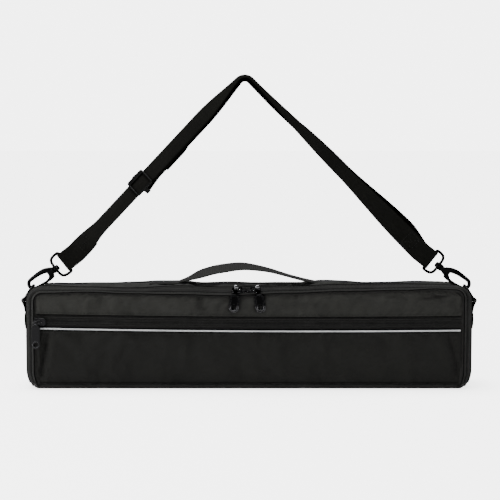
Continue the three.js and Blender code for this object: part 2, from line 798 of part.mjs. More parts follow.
// A station at a distance along the strap, standing out from its middle line by a level.
function strapStation(distance, level, facing = 1) {
  const inside = THREE.MathUtils.clamp(distance / strapLength, 0, 1);
  const point = strapRoute.getPointAt(inside);
  const along = strapRoute.getTangentAt(inside);
  const turn = twistAt(distance) * degrees;
  const upward = new THREE.Vector3(-along.y, 0, along.x);
  const rearward = new THREE.Vector3(0, 1, 0);
  const across = upward.clone().multiplyScalar(Math.cos(turn)).addScaledVector(rearward, Math.sin(turn));
  const out = upward.clone().multiplyScalar(Math.sin(turn)).addScaledVector(rearward, -Math.cos(turn));
  const at = new THREE.Vector3(point.x, 0, point.y).addScaledVector(out, level);
  const forward = new THREE.Vector3(along.x, 0, along.y);
  at.addScaledVector(forward, distance - inside * strapLength);
  return { at, across, out: out.multiplyScalar(facing), forward };
}

const outerLevel = (webbingThickness + layerGap) / 2;
const legLevel = outerLevel - webbingThickness - layerGap;
const returnLevel = legLevel - webbingThickness - layerGap;
const lapLevel = returnLevel - webbingThickness - layerGap;

// Half a turn of webbing about a bar; the face turns with it.
function loopStations(distance, level, radius, direction, from, to) {
  return arcPoints(0, 0, radius, from, to, 8).map(([reach, rise]) => {
    const { at, across } = strapStation(distance + direction * reach, level + rise);
    const { out, forward } = strapStation(distance, level);
    const radial = out.multiplyScalar(rise / radius).addScaledVector(forward, (direction * reach) / radius);
    return { at, across, out: radial };
  });
}

function makeStrapWebbing() {
  const ringLoop = swivelWire / 2 + gap + webbingThickness / 2;
  const settle = 4 * ringLoop;
  const stations = [];
  const run = (from, to, step, facing, levelAt) => {
    const count = Math.max(Math.round(Math.abs(to - from) / step), 1);
    for (let index = 0; index <= count; index += 1) {
      const distance = from + ((to - from) * index) / count;
      stations.push(strapStation(distance, levelAt(distance), facing));
    }
  };
  const straightStep = 2 * strapPeakRadius;
  const peakStep = strapPeakRadius / 5;
  const peakFrom = peakDistance - 2 * strapPeakRadius;
  const peakTo = peakDistance + strapPeakRadius;
  run(strapSewnLength, settle, straightStep, -1, () => legLevel);
  stations.push(...loopStations(0, 0, ringLoop, -1, -90, 90));
  run(settle, peakFrom, straightStep, 1, () => outerLevel);
  run(peakFrom + gap, peakTo, peakStep, 1, () => outerLevel);
  run(peakTo + gap, strapLength - settle, straightStep, 1, () => outerLevel);
  stations.push(...loopStations(strapLength, 0, ringLoop, 1, 90, -90));
  const lapTop = slideCentre + slideLoopSewn + slideRoomUp + gap;
  const returnStops = [
    [lapTop, lapLevel], [lapTop + settle, returnLevel], [peakTo, returnLevel],
    [peakTo + 2 * slideLoopSewn, legLevel], [strapLength, legLevel],
  ];
  const backLevel = (distance) => stepBetween(returnStops, distance);
  run(strapLength - settle, peakTo, straightStep, -1, backLevel);
  run(peakTo - gap, peakFrom, peakStep, -1, backLevel);
  run(peakFrom - gap, lapTop - slideRoomUp * 2, straightStep / 2, -1, backLevel);
  return ribbon(stations, webbingWidth, webbingThickness);
}

const centreBarLevel = legLevel - webbingThickness / 2 - gap - glideCentreBar / 2;

function makeSliderLoop() {
  const radius = glideCentreBar / 2 + gap + webbingThickness / 2;
  const stations = [
    strapStation(slideCentre + slideLoopSewn, returnLevel, -1),
    strapStation(slideCentre + 8 * radius, returnLevel, -1),
    strapStation(slideCentre + 4 * radius, (returnLevel + centreBarLevel - radius) / 2, -1),
    strapStation(slideCentre + radius, centreBarLevel - radius, -1),
    ...loopStations(slideCentre, centreBarLevel, radius, -1, -90, 90),
    strapStation(slideCentre + legLength / 2, legLevel),
    strapStation(slideCentre + legLength, legLevel),
  ];
  return ribbon(stations, webbingWidth, webbingThickness);
}

// Tri-glide in its own frame: X across the webbing, Y along it and Z out of its face.
function makeTriGlide() {
  const railInner = webbingWidth / 2 + 2 * gap;
  const railOuter = railInner + glideRail;
  const half = glideLength / 2;
  const frontFrom = outerLevel + webbingThickness / 2 + gap;
  const frontTo = frontFrom + glideBar;
  const plate = new THREE.Shape();
  plate.moveTo(-railOuter + glideBar, -half);
  plate.lineTo(railOuter - glideBar, -half);
  plate.quadraticCurveTo(railOuter, -half, railOuter, -half + glideBar);
  plate.lineTo(railOuter, half - glideBar);
  plate.quadraticCurveTo(railOuter, half, railOuter - glideBar, half);
  plate.lineTo(-railOuter + glideBar, half);
  plate.quadraticCurveTo(-railOuter, half, -railOuter, half - glideBar);
  plate.lineTo(-railOuter, -half + glideBar);
  plate.quadraticCurveTo(-railOuter, -half, -railOuter + glideBar, -half);
  const window = new THREE.Path();
  window.moveTo(-railInner, -half + glideRail);
  window.lineTo(-railInner, half - glideRail);
  window.lineTo(railInner, half - glideRail);
  window.lineTo(railInner, -half + glideRail);
  window.closePath();
  plate.holes.push(window);
  const frame = new THREE.ExtrudeGeometry(plate, { depth: glideBar, bevelEnabled: false, curveSegments: 4 });
  frame.translate(0, 0, frontFrom);
  const cheeks = [-1, 1].map((sign) => {
    const near = sign * railInner;
    const far = sign * railOuter;
    const reach = glideCentreBar;
    const bottom = centreBarLevel - glideCentreBar / 2;
    return box(Math.min(near, far), Math.max(near, far), -reach, reach, bottom, frontTo);
  });
  const crossbar = bar('x', glideCentreBar / 2, 2 * railInner + glideRail, 0, 0, centreBarLevel, 12);
  return joined(frame, crossbar, ...cheeks);
}

function placeTriGlide(mesh) {
  const { across, out } = strapStation(slideCentre, 0);
  const along = new THREE.Vector3().crossVectors(out, across);
  mesh.setRotationFromMatrix(new THREE.Matrix4().makeBasis(across, along, out));
  mesh.position.copy(strapStation(slideCentre, 0).at);
}

const group = new THREE.Group();
addMesh(group, 'back_panel', makeBackPanel(), fabric());
addMesh(group, 'bottom_panel', makeBottomPanel(), fabric());
addMesh(group, 'gusset', makeGusset(), fabric());
addMesh(group, 'bag_lining', makeLining(), liningFabric());
addMesh(group, 'rear_zip_tape', makeRearTape(), zipTape());
addMesh(group, 'front_zip_tape', makeFrontTape(), zipTape());
addMesh(group, 'front_panel', makeFlapPad(), fabric());
addMesh(group, 'front_lining', makeFlapLining(), liningFabric());
addMesh(group, 'front_top_strip', makeSkin(stripBottom, bagHeight), skinFabric());
addMesh(group, 'pocket_panel', makeSkin(0, pocketTop), skinFabric());
addMesh(group, 'pocket_zip_tape_upper', makePocketTape(1), zipTape());
addMesh(group, 'pocket_zip_tape_lower', makePocketTape(-1), zipTape());
addMesh(group, 'reflective_piping', makePiping(), reflective());

// Main sliders ride on the coil along the top; each pull hangs over the front edge.
const topTilt = Math.atan2(bandTopInset, bandDepth);
const riding = bandPoint(bandWidth / 2, coilHeight + gap);
const stapleHeight = sliderPlate + stapleRise;
for (const [name, sign] of [['left', -1], ['right', 1]]) {
  const x = sign * (sliderLength + sliderSpacing) / 2;
  const slider = addMesh(group, `main_slider_${name}`, makeSlider(0), blackMetal());
  slider.position.set(x, riding.y, bagHeight - riding.top);
  slider.rotation.x = topTilt;
  const blade = makePull(mainPullLength, mainPullWidth, mainPullThickness, mainPullLean, mainPullNeck);
  const pull = addMesh(group, `main_pull_${name}`, blade, blackMetal());
  pull.position.set(x, riding.y - stapleHeight * Math.sin(topTilt),
    bagHeight - riding.top + stapleHeight * Math.cos(topTilt));
}

// The pocket slider rides on the front of its coil, at the left end of the zip.
const pocketSliderPlace = pocketSliderInset - pocketHalfLength;
const pocketSliderY = frontY + skinThickness + gap - coilHeight - gap;
const pocketSlider = addMesh(group, 'pocket_slider', makeSlider(pocketPullOffset), mattPaint());
pocketSlider.position.set(pocketSliderPlace, pocketSliderY, pocketZipHeight);
pocketSlider.rotation.x = Math.PI / 2;
const pocketBlade = makePull(pocketPullLength, pocketPullWidth, pocketPullThickness, 0, pocketPullNeck);
const pocketPull = addMesh(group, 'pocket_pull', pocketBlade, mattPaint());
pocketPull.position.set(pocketSliderPlace + pocketPullOffset, pocketSliderY - stapleHeight, pocketZipHeight);

// Carry handle
const gripHalf = handleGripLength / 2;
const riseStart = handleSpan / 2 - 2 * gap;
addMesh(group, 'handle_end_left', makeHandleEnd(-1), webbing());
addMesh(group, 'handle_end_right', makeHandleEnd(1), webbing());
addMesh(group, 'handle_rise_left', makeHandleStretch(-riseStart, -gripHalf - gap, 6), webbing());
addMesh(group, 'handle_rise_right', makeHandleStretch(gripHalf + gap, riseStart, 6), webbing());
addMesh(group, 'handle_grip', makeHandleStretch(-gripHalf, gripHalf, 14), webbing());

// Each end carries a ring tab, a D-ring, a snap hook with its gate and pin, and a swivel ring.
for (const [name, turn] of [['right', 0], ['left', Math.PI]]) {
  const end = new THREE.Group();
  end.rotation.z = turn;
  group.add(end);
  addMesh(end, `ring_tab_${name}`, makeRingTab(), webbing());
  const ring = addMesh(end, `d_ring_${name}`, makeDRing(), blackMetal());
  ring.position.set(ringBarPlace, 0, ringBarHeight);
  ring.rotation.y = -(90 - ringLean) * degrees;
  const hook = new THREE.Group();
  hook.position.set(knobPlace, 0, knobHeight);
  hook.rotation.y = hookTurn;
  end.add(hook);
  addMesh(hook, `snap_hook_${name}`, makeHookBody(), blackMetal());
  addMesh(hook, `hook_gate_${name}`, makeGate(), blackMetal());
  addMesh(hook, `gate_pin_${name}`, makeGatePin(), blackMetal());
  addMesh(hook, `swivel_ring_${name}`, makeSwivelRing(), blackMetal());
}

addMesh(group, 'strap_webbing', makeStrapWebbing(), webbing());
addMesh(group, 'slider_loop', makeSliderLoop(), webbing());
placeTriGlide(addMesh(group, 'tri_glide', makeTriGlide(), blackPlastic()));

export default group;
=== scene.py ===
# %% [markdown]
# A padded flute bag on its long bottom: a box-shaped body, a front flap with a pocket, a webbing handle and a
# clip-on shoulder strap that stands up in an inverted V. The imported model gives every place in metres, so the
# first step loads it. Nothing made later may reach past that box by more than cloth does.

# %% Load the frame
import math
import bpy
import bmesh
import numpy as np
from mathutils import Matrix, Vector


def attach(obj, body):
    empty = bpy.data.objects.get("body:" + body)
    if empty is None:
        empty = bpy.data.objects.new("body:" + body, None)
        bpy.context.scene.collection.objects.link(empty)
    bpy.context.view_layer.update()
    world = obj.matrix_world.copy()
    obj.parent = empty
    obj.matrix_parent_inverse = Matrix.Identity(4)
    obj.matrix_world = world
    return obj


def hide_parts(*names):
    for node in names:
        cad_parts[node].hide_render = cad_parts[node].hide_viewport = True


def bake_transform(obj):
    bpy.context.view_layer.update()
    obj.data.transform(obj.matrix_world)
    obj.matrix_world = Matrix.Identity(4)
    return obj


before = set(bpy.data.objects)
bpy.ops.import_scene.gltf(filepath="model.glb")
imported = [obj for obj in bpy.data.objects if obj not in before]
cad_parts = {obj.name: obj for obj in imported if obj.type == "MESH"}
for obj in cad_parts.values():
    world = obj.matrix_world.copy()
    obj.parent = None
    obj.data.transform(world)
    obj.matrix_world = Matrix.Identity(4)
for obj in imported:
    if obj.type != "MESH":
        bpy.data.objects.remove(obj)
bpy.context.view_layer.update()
HALF_LENGTH, HEIGHT = 0.220, 0.102
FRONT, BACK = -0.033, 0.033
X, Y, Z = Vector((1, 0, 0)), Vector((0, 1, 0)), Vector((0, 0, 1))
SIDES = (("left", -1), ("right", 1))


def link(piece):
    bpy.context.scene.collection.objects.link(piece)
    return piece


def pick(piece):
    """Selects one object and makes it the active one."""
    bpy.ops.object.select_all(action="DESELECT")
    piece.select_set(True)
    bpy.context.view_layer.objects.active = piece
    return piece


def edit_all(*steps):
    """Runs mesh tools on all of the active object."""
    bpy.ops.object.mode_set(mode="EDIT")
    bpy.ops.mesh.select_all(action="SELECT")
    for step in steps:
        step()
    bpy.ops.object.mode_set(mode="OBJECT")


def smooth(value, low, high):
    share = min(max((value - low) / (high - low), 0.0), 1.0)
    return share * share * (3 - 2 * share)


def shares(count):
    """The shares of a whole, from 0 to 1, at the ends of equal steps."""
    return [k / count for k in range(count + 1)]


def moved(x, y, z):
    return Matrix.Translation((x, y, z))


def turned(degrees, axis):
    return Matrix.Rotation(math.radians(degrees), 4, axis)


# %% [markdown]
# The photograph looks straight at the front from a little above the bag: the top shows as a thin band, and
# both ends show equally little. A long lens about 1.4 m away keeps the outline square. The lens is set from
# the length of the bag in the picture, and the tilt from how much of the top is seen.

# %% Camera
camera_data = bpy.data.cameras.new("camera")
camera_data.lens, camera_data.sensor_width = 100.8, 36
camera = link(bpy.data.objects.new("camera", camera_data))
camera.location = (0.001, -1.393, 0.245)
camera.rotation_euler = (math.radians(90 - 4.5), 0, 0)
bpy.context.scene.camera = camera
print("camera", tuple(round(v, 3) for v in camera.location))

# %% [markdown]
# Black cloth shows its folds only under large soft light. A sun with a wide angle stands nearly overhead, one
# panel to the left of the camera gives the metal its highlights, and a weaker one lifts the right end. A
# little light comes from all round. Floor and backdrop glow for the camera alone, so they don't wash out the
# black cloth.

# %% Floor and light
def feed(tree, socket, value):
    """Sets a plain value on a socket, or links another node's output to it."""
    if isinstance(value, bpy.types.NodeSocket):
        tree.links.new(value, socket)
    else:
        socket.default_value = value


def node(tree, kind, settings=(), **inputs):
    """A shader node with its settings and inputs; an underscore stands for the space in a socket's name."""
    made = tree.nodes.new("ShaderNode" + kind)
    for label, value in dict(settings).items():
        setattr(made, label, value)
    for label, value in inputs.items():
        feed(tree, made.inputs[label.replace("_", " ")], value)
    return made


def math_node(tree, operation, *values):
    made = node(tree, "Math", {"operation": operation})
    for socket, value in zip(made.inputs, values):
        feed(tree, socket, value)
    return made.outputs[0]


WHITE = (1, 1, 1, 1)
FLOOR_GLOW, BACKDROP_GLOW, FILL_LIGHT = 3.0, 5.25, 0.10
bpy.ops.mesh.primitive_plane_add(size=60, location=(0, 0, -0.0002))
floor = bpy.context.object
floor.name = "pale_floor"
paint = bpy.data.materials.new("floor_paint")
paint.use_nodes = True
paint_inputs = paint.node_tree.nodes["Principled BSDF"].inputs
paint_inputs["Base Color"].default_value = (0.92, 0.92, 0.92, 1)
paint_inputs["Roughness"].default_value = 0.9
paint_inputs["Emission Color"].default_value = WHITE
seen = node(paint.node_tree, "LightPath").outputs["Is Camera Ray"]
feed(paint.node_tree, paint_inputs["Emission Strength"],
     math_node(paint.node_tree, "MULTIPLY", seen, FLOOR_GLOW))
floor.data.materials.append(paint)
world = bpy.data.worlds.new("studio")
bpy.context.scene.world = world
world.use_nodes = True
air = world.node_tree
backdrop = air.nodes["Background"]
backdrop.inputs["Color"].default_value = WHITE
backdrop.inputs["Strength"].default_value = BACKDROP_GLOW
fill = node(air, "Background", Color=WHITE, Strength=FILL_LIGHT)
mixed_air = node(air, "MixShader", Fac=node(air, "LightPath").outputs["Is Camera Ray"])
feed(air, mixed_air.inputs[1], fill.outputs[0])
feed(air, mixed_air.inputs[2], backdrop.outputs[0])
feed(air, air.nodes["World Output"].inputs["Surface"], mixed_air.outputs[0])


def soft_light(name, place, target, width, height, power):
    data = bpy.data.lights.new(name, "AREA")
    data.shape = "RECTANGLE"
    data.size, data.size_y, data.energy = width, height, power
    lamp = link(bpy.data.objects.new(name, data))
    lamp.location = place
    lamp.rotation_euler = (Vector(target) - Vector(place)).to_track_quat("-Z", "Y").to_euler()


sky = bpy.data.lights.new("overhead", "SUN")
sky.energy, sky.angle = 6.6, math.radians(42)
overhead = link(bpy.data.objects.new("overhead", sky))
overhead.rotation_euler = (math.radians(-3), math.radians(-6), 0)
soft_light("left_panel", (-0.85, -0.80, 0.50), (-0.15, 0, 0.05), 0.5, 0.5, 9)
soft_light("right_panel", (1.5, -0.9, 0.8), (0, 0, 0.05), 0.8, 0.9, 2)

# %% [markdown]
# Every cloth here is woven, so all of them share three effects, each built once as a node group. The first is
# a plain weave: two crossed rows of threads give a small chequered height. The second is webbing: slanting
# ribs that turn back at the middle. The third is handling: pale rubbing and darker patches that vary slowly.
# They all read a map in metres, so a thread has the same size on every piece.

# %% Shared effects
def new_group(name, inputs, outputs):
    """A node group: an input has a plain value, or None for a vector, and all outputs are numbers."""
    group = bpy.data.node_groups.new(name, "ShaderNodeTree")
    for label, value in inputs.items():
        kind = "NodeSocketVector" if value is None else "NodeSocketFloat"
        socket = group.interface.new_socket(label, in_out="INPUT", socket_type=kind)
        if value is not None:
            socket.default_value = value
    for label in outputs:
        group.interface.new_socket(label, in_out="OUTPUT", socket_type="NodeSocketFloat")
    return group, group.nodes.new("NodeGroupInput").outputs, group.nodes.new("NodeGroupOutput").inputs


def axes(tree, vector):
    return node(tree, "SeparateXYZ", Vector=vector).outputs


def thread_wave(tree, place, threads_per_metre):
    return math_node(tree, "SINE", math_node(tree, "MULTIPLY", place, threads_per_metre))


def make_plain_weave():
    group, given, out = new_group("plain_weave", {"Map": None, "Thread": 0.0006}, ["Height", "Shade"])
    place = axes(group, given["Map"])
    count = math_node(group, "DIVIDE", math.pi, given["Thread"])
    crossed = math_node(group, "MULTIPLY", thread_wave(group, place["X"], count),
                        thread_wave(group, place["Y"], count))
    height = math_node(group, "MULTIPLY_ADD", crossed, 0.5, 0.5)
    slub = node(group, "TexNoise", Vector=given["Map"], Scale=900, Detail=2)
    feed(group, out["Height"], height)
    feed(group, out["Shade"], math_node(group, "MULTIPLY", height, slub.outputs["Fac"]))
    return group


def make_webbing_weave():
    group, given, out = new_group("webbing_weave", {"Map": None, "Rib": 0.0016, "Slant": 1.0, "Edge": 0.0085},
                                  ["Height", "Shade"])
    place = axes(group, given["Map"])
    fold = math_node(group, "ABSOLUTE", place["Y"])
    along = math_node(group, "ADD", place["X"], math_node(group, "MULTIPLY", fold, given["Slant"]))
    ribs = thread_wave(group, along, math_node(group, "DIVIDE", 2 * math.pi, given["Rib"]))
    warp = thread_wave(group, place["Y"], math_node(group, "DIVIDE", 3 * math.pi, given["Rib"]))
    height = math_node(group, "MULTIPLY", math_node(group, "MULTIPLY_ADD", ribs, 0.5, 0.5),
                       math_node(group, "MULTIPLY_ADD", warp, 0.25, 0.75))
    selvedge = math_node(group, "LESS_THAN", fold, given["Edge"])
    height = math_node(group, "MULTIPLY", height, math_node(group, "MULTIPLY_ADD", selvedge, 0.6, 0.4))
    feed(group, out["Height"], height)
    feed(group, out["Shade"], math_node(group, "MULTIPLY_ADD", height, 0.7, 0.3))
    return group


def make_handling():
    group, given, out = new_group("handling", {"Place": None, "Patch": 9.0}, ["Rub"])
    patch = node(group, "TexNoise", Vector=given["Place"], Scale=given["Patch"], Detail=4)
    feed(group, out["Rub"], patch.outputs["Fac"])
    return group


plain_weave, webbing_weave, handling = make_plain_weave(), make_webbing_weave(), make_handling()
print("effects", [group.name for group in (plain_weave, webbing_weave, handling)])

# %% [markdown]
# Cloth scatters light from its fuzz, so each cloth gets a rough base, and all but the strap a little sheen.
# The shell is a tight polyester, the pocket a darker copy of the same cloth, and the upper strip a lighter
# copy: painted light, because the strip faces a little upward, towards the overhead light. The webbing is
# coarse and ribbed, and the lining is brushed. Where two cloths meet, light doesn't reach into the sewn
# crease, so the colour is painted darker there as painted shade.

# %% Cloth materials
def ramp(tree, factor, dark, light, stops):
    made = node(tree, "ValToRGB", Fac=factor)
    for end, stop, colour in zip(made.color_ramp.elements, stops, (dark, light)):
        end.position = stop
        end.color = (*colour, 1)
    return made.outputs["Color"]


def bump(tree, height, strength, distance, **under):
    return node(tree, "Bump", Height=height, Strength=strength, Distance=distance, **under).outputs["Normal"]


def placed(tree, group, **values):
    return node(tree, "Group", {"node_tree": group}, **values).outputs


def start_material(name, patch, roughness, sheen=0.0, metallic=0.0, *, specular):
    """A material, its tree, the place on the object and the handling there."""
    material = bpy.data.materials.new(name)
    material.use_nodes = True
    tree = material.node_tree
    for label, value in (("Roughness", roughness), ("Metallic", metallic), ("Specular IOR Level", specular),
                         ("Sheen Weight", sheen), ("Sheen Roughness", 0.6)):
        tree.nodes["Principled BSDF"].inputs[label].default_value = value
    place = node(tree, "TexCoord").outputs["Object"]
    return material, tree, place, placed(tree, handling, Place=place, Patch=patch)["Rub"]


def finish_material(material, colour, rub, rough, relief):
    """Feeds the colour, a roughness that grows with rubbing (by how much, from where), and the relief."""
    tree = material.node_tree
    rough = math_node(tree, "MULTIPLY_ADD", rub, *rough)
    for label, value in (("Base Color", colour), ("Roughness", rough), ("Normal", relief)):
        feed(tree, tree.nodes["Principled BSDF"].inputs[label], value)
    return material


# Painted shade: the colour is darkened where other surfaces lie close, in seams and creases.
def painted_crease_shade(tree, colour, reach=0.0035, gain=1.5):
    near = node(tree, "AmbientOcclusion", {"samples": 6}, Distance=reach).outputs["AO"]
    lit = math_node(tree, "MAXIMUM", math_node(tree, "MULTIPLY_ADD", near, gain, 1 - gain), 0.0)
    shaded = node(tree, "Mix", {"data_type": "RGBA"}, Factor=lit, A=(0.0006, 0.0006, 0.0006, 1), B=colour)
    return shaded.outputs["Result"]


def cloth_material(name, dark, light, crumple, thread=0.0006, weave=0.5, sheen=0.03, roughness=0.82):
    material, tree, place, rub = start_material(name, 11.0, roughness, sheen, specular=0.10)
    threads = placed(tree, plain_weave, Map=node(tree, "UVMap").outputs["UV"], Thread=thread)
    mixed = math_node(tree, "MULTIPLY_ADD", rub, 0.6, math_node(tree, "MULTIPLY", threads["Shade"], 0.55))
    billows = node(tree, "TexNoise", Vector=place, Scale=26, Detail=1.5, Distortion=0.3).outputs["Fac"]
    relief = bump(tree, threads["Height"], weave, 0.0004, Normal=bump(tree, billows, crumple, 0.024))
    return finish_material(material, painted_crease_shade(tree, ramp(tree, mixed, dark, light, (0.15, 0.8))), rub,
                           (0.25, roughness - 0.14), relief)


def webbing_material(name, dark, light, rib, slant, edge, sheen=0.02, specular=0.10, underside_shade=0.0):
    material, tree, _, rub = start_material(name, 22.0, 0.75, sheen, specular=specular)
    ribs = placed(tree, webbing_weave, Map=node(tree, "UVMap").outputs["UV"], Rib=rib, Slant=slant, Edge=edge)
    mixed = math_node(tree, "MULTIPLY_ADD", ribs["Shade"], 0.7, math_node(tree, "MULTIPLY", rub, 0.3))
    # Painted shade: faces that the second map marks as the underside are painted darker by this share.
    if underside_shade:
        below = axes(tree, node(tree, "UVMap", {"uv_map": "Side"}).outputs["UV"])["X"]
        mixed = math_node(tree, "MULTIPLY", mixed, math_node(tree, "MULTIPLY_ADD", below, -underside_shade, 1.0))
    return finish_material(material, painted_crease_shade(tree, ramp(tree, mixed, dark, light, (0.2, 0.9))), rub,
                           (0.2, 0.62), bump(tree, ribs["Height"], 0.9, 0.0005))


shell_cloth = cloth_material("shell_cloth", (0.0062, 0.0064, 0.0058), (0.018, 0.0182, 0.0166), 0.35,
                             sheen=0.05)
pocket_cloth = cloth_material("pocket_cloth", (0.0045, 0.0045, 0.0040), (0.0108, 0.0108, 0.0096), 0.7)
# The upper strip is a lighter copy of the cloth: painted light, because it faces a little upward, towards the
# overhead light.
painted_light_strip_cloth = cloth_material("painted_light_strip_cloth", (0.0095, 0.0096, 0.0086), (0.029, 0.029, 0.026), 1.0)
lining_cloth = cloth_material("lining_cloth", (0.006, 0.006, 0.0075), (0.015, 0.015, 0.018), 0.4,
                              thread=0.0004, weave=0.25, sheen=0.30, roughness=0.9)
tape_cloth = webbing_material("tape_cloth", (0.0080, 0.0080, 0.0074), (0.025, 0.025, 0.0233), 0.0008, 0.6,
                              1.0)
strap_cloth = webbing_material("strap_cloth", (0.0012, 0.0012, 0.0010), (0.0135, 0.0135, 0.0122), 0.0015, 1.0,
                               0.0088, sheen=0.0, specular=0.0, underside_shade=0.95)
handle_cloth = webbing_material("handle_cloth", (0.004, 0.004, 0.0037), (0.017, 0.017, 0.0158), 0.0019, 0.0,
                                0.0112)
print("cloth materials", [made.name for made in bpy.data.materials if "cloth" in made.name])

# %% [markdown]
# Coils, reflective tape and the near-black paint of the seam shadows are plain: a colour that varies slowly
# with handling and a faint relief. The tape's silver comes from tiny glass beads, which a cell pattern
# stands for.

# %% Seam shadows, coils and piping
def smooth_material(name, patch, roughness, specular, dark, light, stops, rough, strength, depth):
    material, tree, _, rub = start_material(name, patch, roughness, specular=specular)
    return finish_material(material, ramp(tree, rub, dark, light, stops), rub, rough,
                           bump(tree, rub, strength, depth))


coil_nylon = smooth_material("coil_nylon", 60.0, 0.6, 0.08, (0.0075, 0.0075, 0.0072), (0.022, 0.022, 0.021),
                             (0.3, 0.75), (0.3, 0.45), 0.2, 0.0003)
# Near-black paint for the seam cords: painted shade along the seams.
painted_seam_shadow = smooth_material("painted_seam_shadow", 80.0, 0.85, 0.03, (0.0004, 0.0004, 0.0004),
                              (0.0022, 0.0022, 0.0020), (0.3, 0.9), (0.2, 0.72), 0.3, 0.0002)


def piping_material(name):
    material, tree, place, rub = start_material(name, 30.0, 0.38, specular=0.6)
    beads = node(tree, "TexVoronoi", Vector=place, Scale=1500).outputs["Distance"]
    mixed = math_node(tree, "MULTIPLY_ADD", rub, 0.7, math_node(tree, "MULTIPLY", beads, 0.3))
    return finish_material(material, ramp(tree, mixed, (0.24, 0.245, 0.25), (0.54, 0.545, 0.55), (0.2, 0.8)),
                           rub, (0.25, 0.25), bump(tree, beads, 0.4, 0.0002))


silver_piping = piping_material("silver_piping")
print("plain materials", coil_nylon.name, painted_seam_shadow.name, silver_piping.name)

# %% [markdown]
# The bag is cut from flat cloth, so its pieces start as flat grids that are bent to their place. A grid is
# added with the right number of squares, and each point is then moved to where a small function of its two
# counts says. The same two counts, measured along the bent cloth, give the map in metres that the weave
# follows.

# %% Bent sheets
def finish_mesh(piece, name, material, body, replaced, angle=40):
    piece.name = piece.data.name = name
    piece.data.materials.clear()
    piece.data.materials.append(material)
    pick(piece)
    bpy.ops.object.transform_apply(location=True, rotation=True, scale=True)
    bpy.ops.object.shade_smooth_by_angle(angle=math.radians(angle))
    if body:
        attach(piece, body)
    if replaced:
        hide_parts(*replaced)
    return piece


def lengths(points):
    """The length along a route from its start to each of its points."""
    return np.concatenate([[0], np.cumsum(np.linalg.norm(np.diff(points, axis=0), axis=1))])


def bent_sheet(rows, curved=False):
    """A grid whose points are given row by row; its map is the length along the rows and columns."""
    points = np.array(rows, dtype=float)
    count_v, count_u = points.shape[:2]
    bpy.ops.mesh.primitive_grid_add(x_subdivisions=count_u - 1, y_subdivisions=count_v - 1, size=1)
    sheet = bpy.context.object
    sheet.data.vertices.foreach_set("co", points.reshape(-1))
    along, down = lengths(points.mean(axis=0)), lengths(points.mean(axis=1))
    if curved:
        down = np.concatenate([[0], np.cumsum(np.linalg.norm(np.diff(points, axis=0), axis=2).mean(axis=1))])
    uv = sheet.data.uv_layers.active.data
    for loop in sheet.data.loops:
        row, column = divmod(loop.vertex_index, count_u)
        uv[loop.index].uv = (along[column] - along[-1] / 2, down[row] - down[-1] / 2)
    sheet.data.update()
    return sheet


def apply_modifier(piece, kind, **settings):
    modifier = pick(piece).modifiers.new(kind.lower(), kind)
    for key, value in settings.items():
        setattr(modifier, key, value)
    bpy.ops.object.modifier_apply(modifier=modifier.name)


def turn_outward(piece, towards):
    """Turns the sheet round when it looks away from the wanted direction."""
    total = sum((face.normal * face.area for face in piece.data.polygons), Vector())
    if total.dot(Vector(towards)) < 0:
        pick(piece)
        edit_all(bpy.ops.mesh.flip_normals)


def cloth_piece(name, rows, outward, thickness, material, body, replaced, settle=None, curved=False,
                even=False):
    """A bent sheet that looks outward, settles if asked, and gets its thickness inward."""
    sheet = bent_sheet(rows, curved)
    turn_outward(sheet, outward)
    sheet.name = name
    if settle:
        settle_cloth(sheet, edge_pins(len(rows[0]), len(rows)), **settle)
    apply_modifier(sheet, "SOLIDIFY", thickness=thickness, offset=-1, use_even_offset=even)
    return finish_mesh(sheet, name, material, body, replaced)


print("ready to bend cloth")

# %% [markdown]
# Padding pushes cloth outward between its seams, and the cloth is cut a touch longer than the seam, so it
# wrinkles. A cloth simulation does both: the seam points are pinned, a little pressure stands for the foam,
# and the cloth grows by a few percent. The moves are capped so that no fold leaves the room that the solid
# keeps for the piece.

# %% Let cloth settle
STIFFNESS = 12


def edge_pins(columns, rows):
    """Seam points, fully held at the border and half held one row in."""
    pins = {}
    for index in range(columns * rows):
        row, column = divmod(index, columns)
        near = min(row, rows - 1 - row, column, columns - 1 - column)
        if near <= 1:
            pins[index] = 1.0 if near == 0 else 0.5
    return pins


def settle_cloth(piece, pinned, growth, pressure, frames, cap, bending=0.4):
    start = np.zeros(len(piece.data.vertices) * 3)
    piece.data.vertices.foreach_get("co", start)
    pins = piece.vertex_groups.new(name="seam")
    for index, weight in pinned.items():
        pins.add([index], weight, "REPLACE")
    cloth = piece.modifiers.new("cloth", "CLOTH")
    for label, value in (("quality", 5), ("mass", 0.15), ("tension_stiffness", STIFFNESS),
                         ("compression_stiffness", STIFFNESS), ("shear_stiffness", STIFFNESS / 3),
                         ("bending_stiffness", bending), ("vertex_group_mass", "seam"),
                         ("shrink_min", -growth), ("use_pressure", True),
                         ("uniform_pressure_force", pressure)):
        setattr(cloth.settings, label, value)
    cloth.settings.effector_weights.gravity = 0
    cloth.collision_settings.use_collision = False
    cloth.point_cache.frame_end = frames
    scene = bpy.context.scene
    for frame_number in range(1, frames + 1):
        scene.frame_set(frame_number)
    posed = piece.evaluated_get(bpy.context.evaluated_depsgraph_get())
    after = np.zeros_like(start)
    posed.data.vertices.foreach_get("co", after)
    scene.frame_set(1)
    piece.modifiers.remove(cloth)
    piece.vertex_groups.remove(pins)
    shift = (after - start).reshape(-1, 3)
    far = np.linalg.norm(shift, axis=1)
    limit = cap * np.tanh(far / cap) / np.maximum(far, 1e-9)
    piece.data.vertices.foreach_set("co", (start.reshape(-1, 3) + shift * limit[:, None]).reshape(-1))
    piece.data.update()
    print(piece.name, "settled, largest move", round(float((far * limit).max()) * 1000, 2), "mm")


print("cloth grows between pinned seams, stiffness", STIFFNESS)

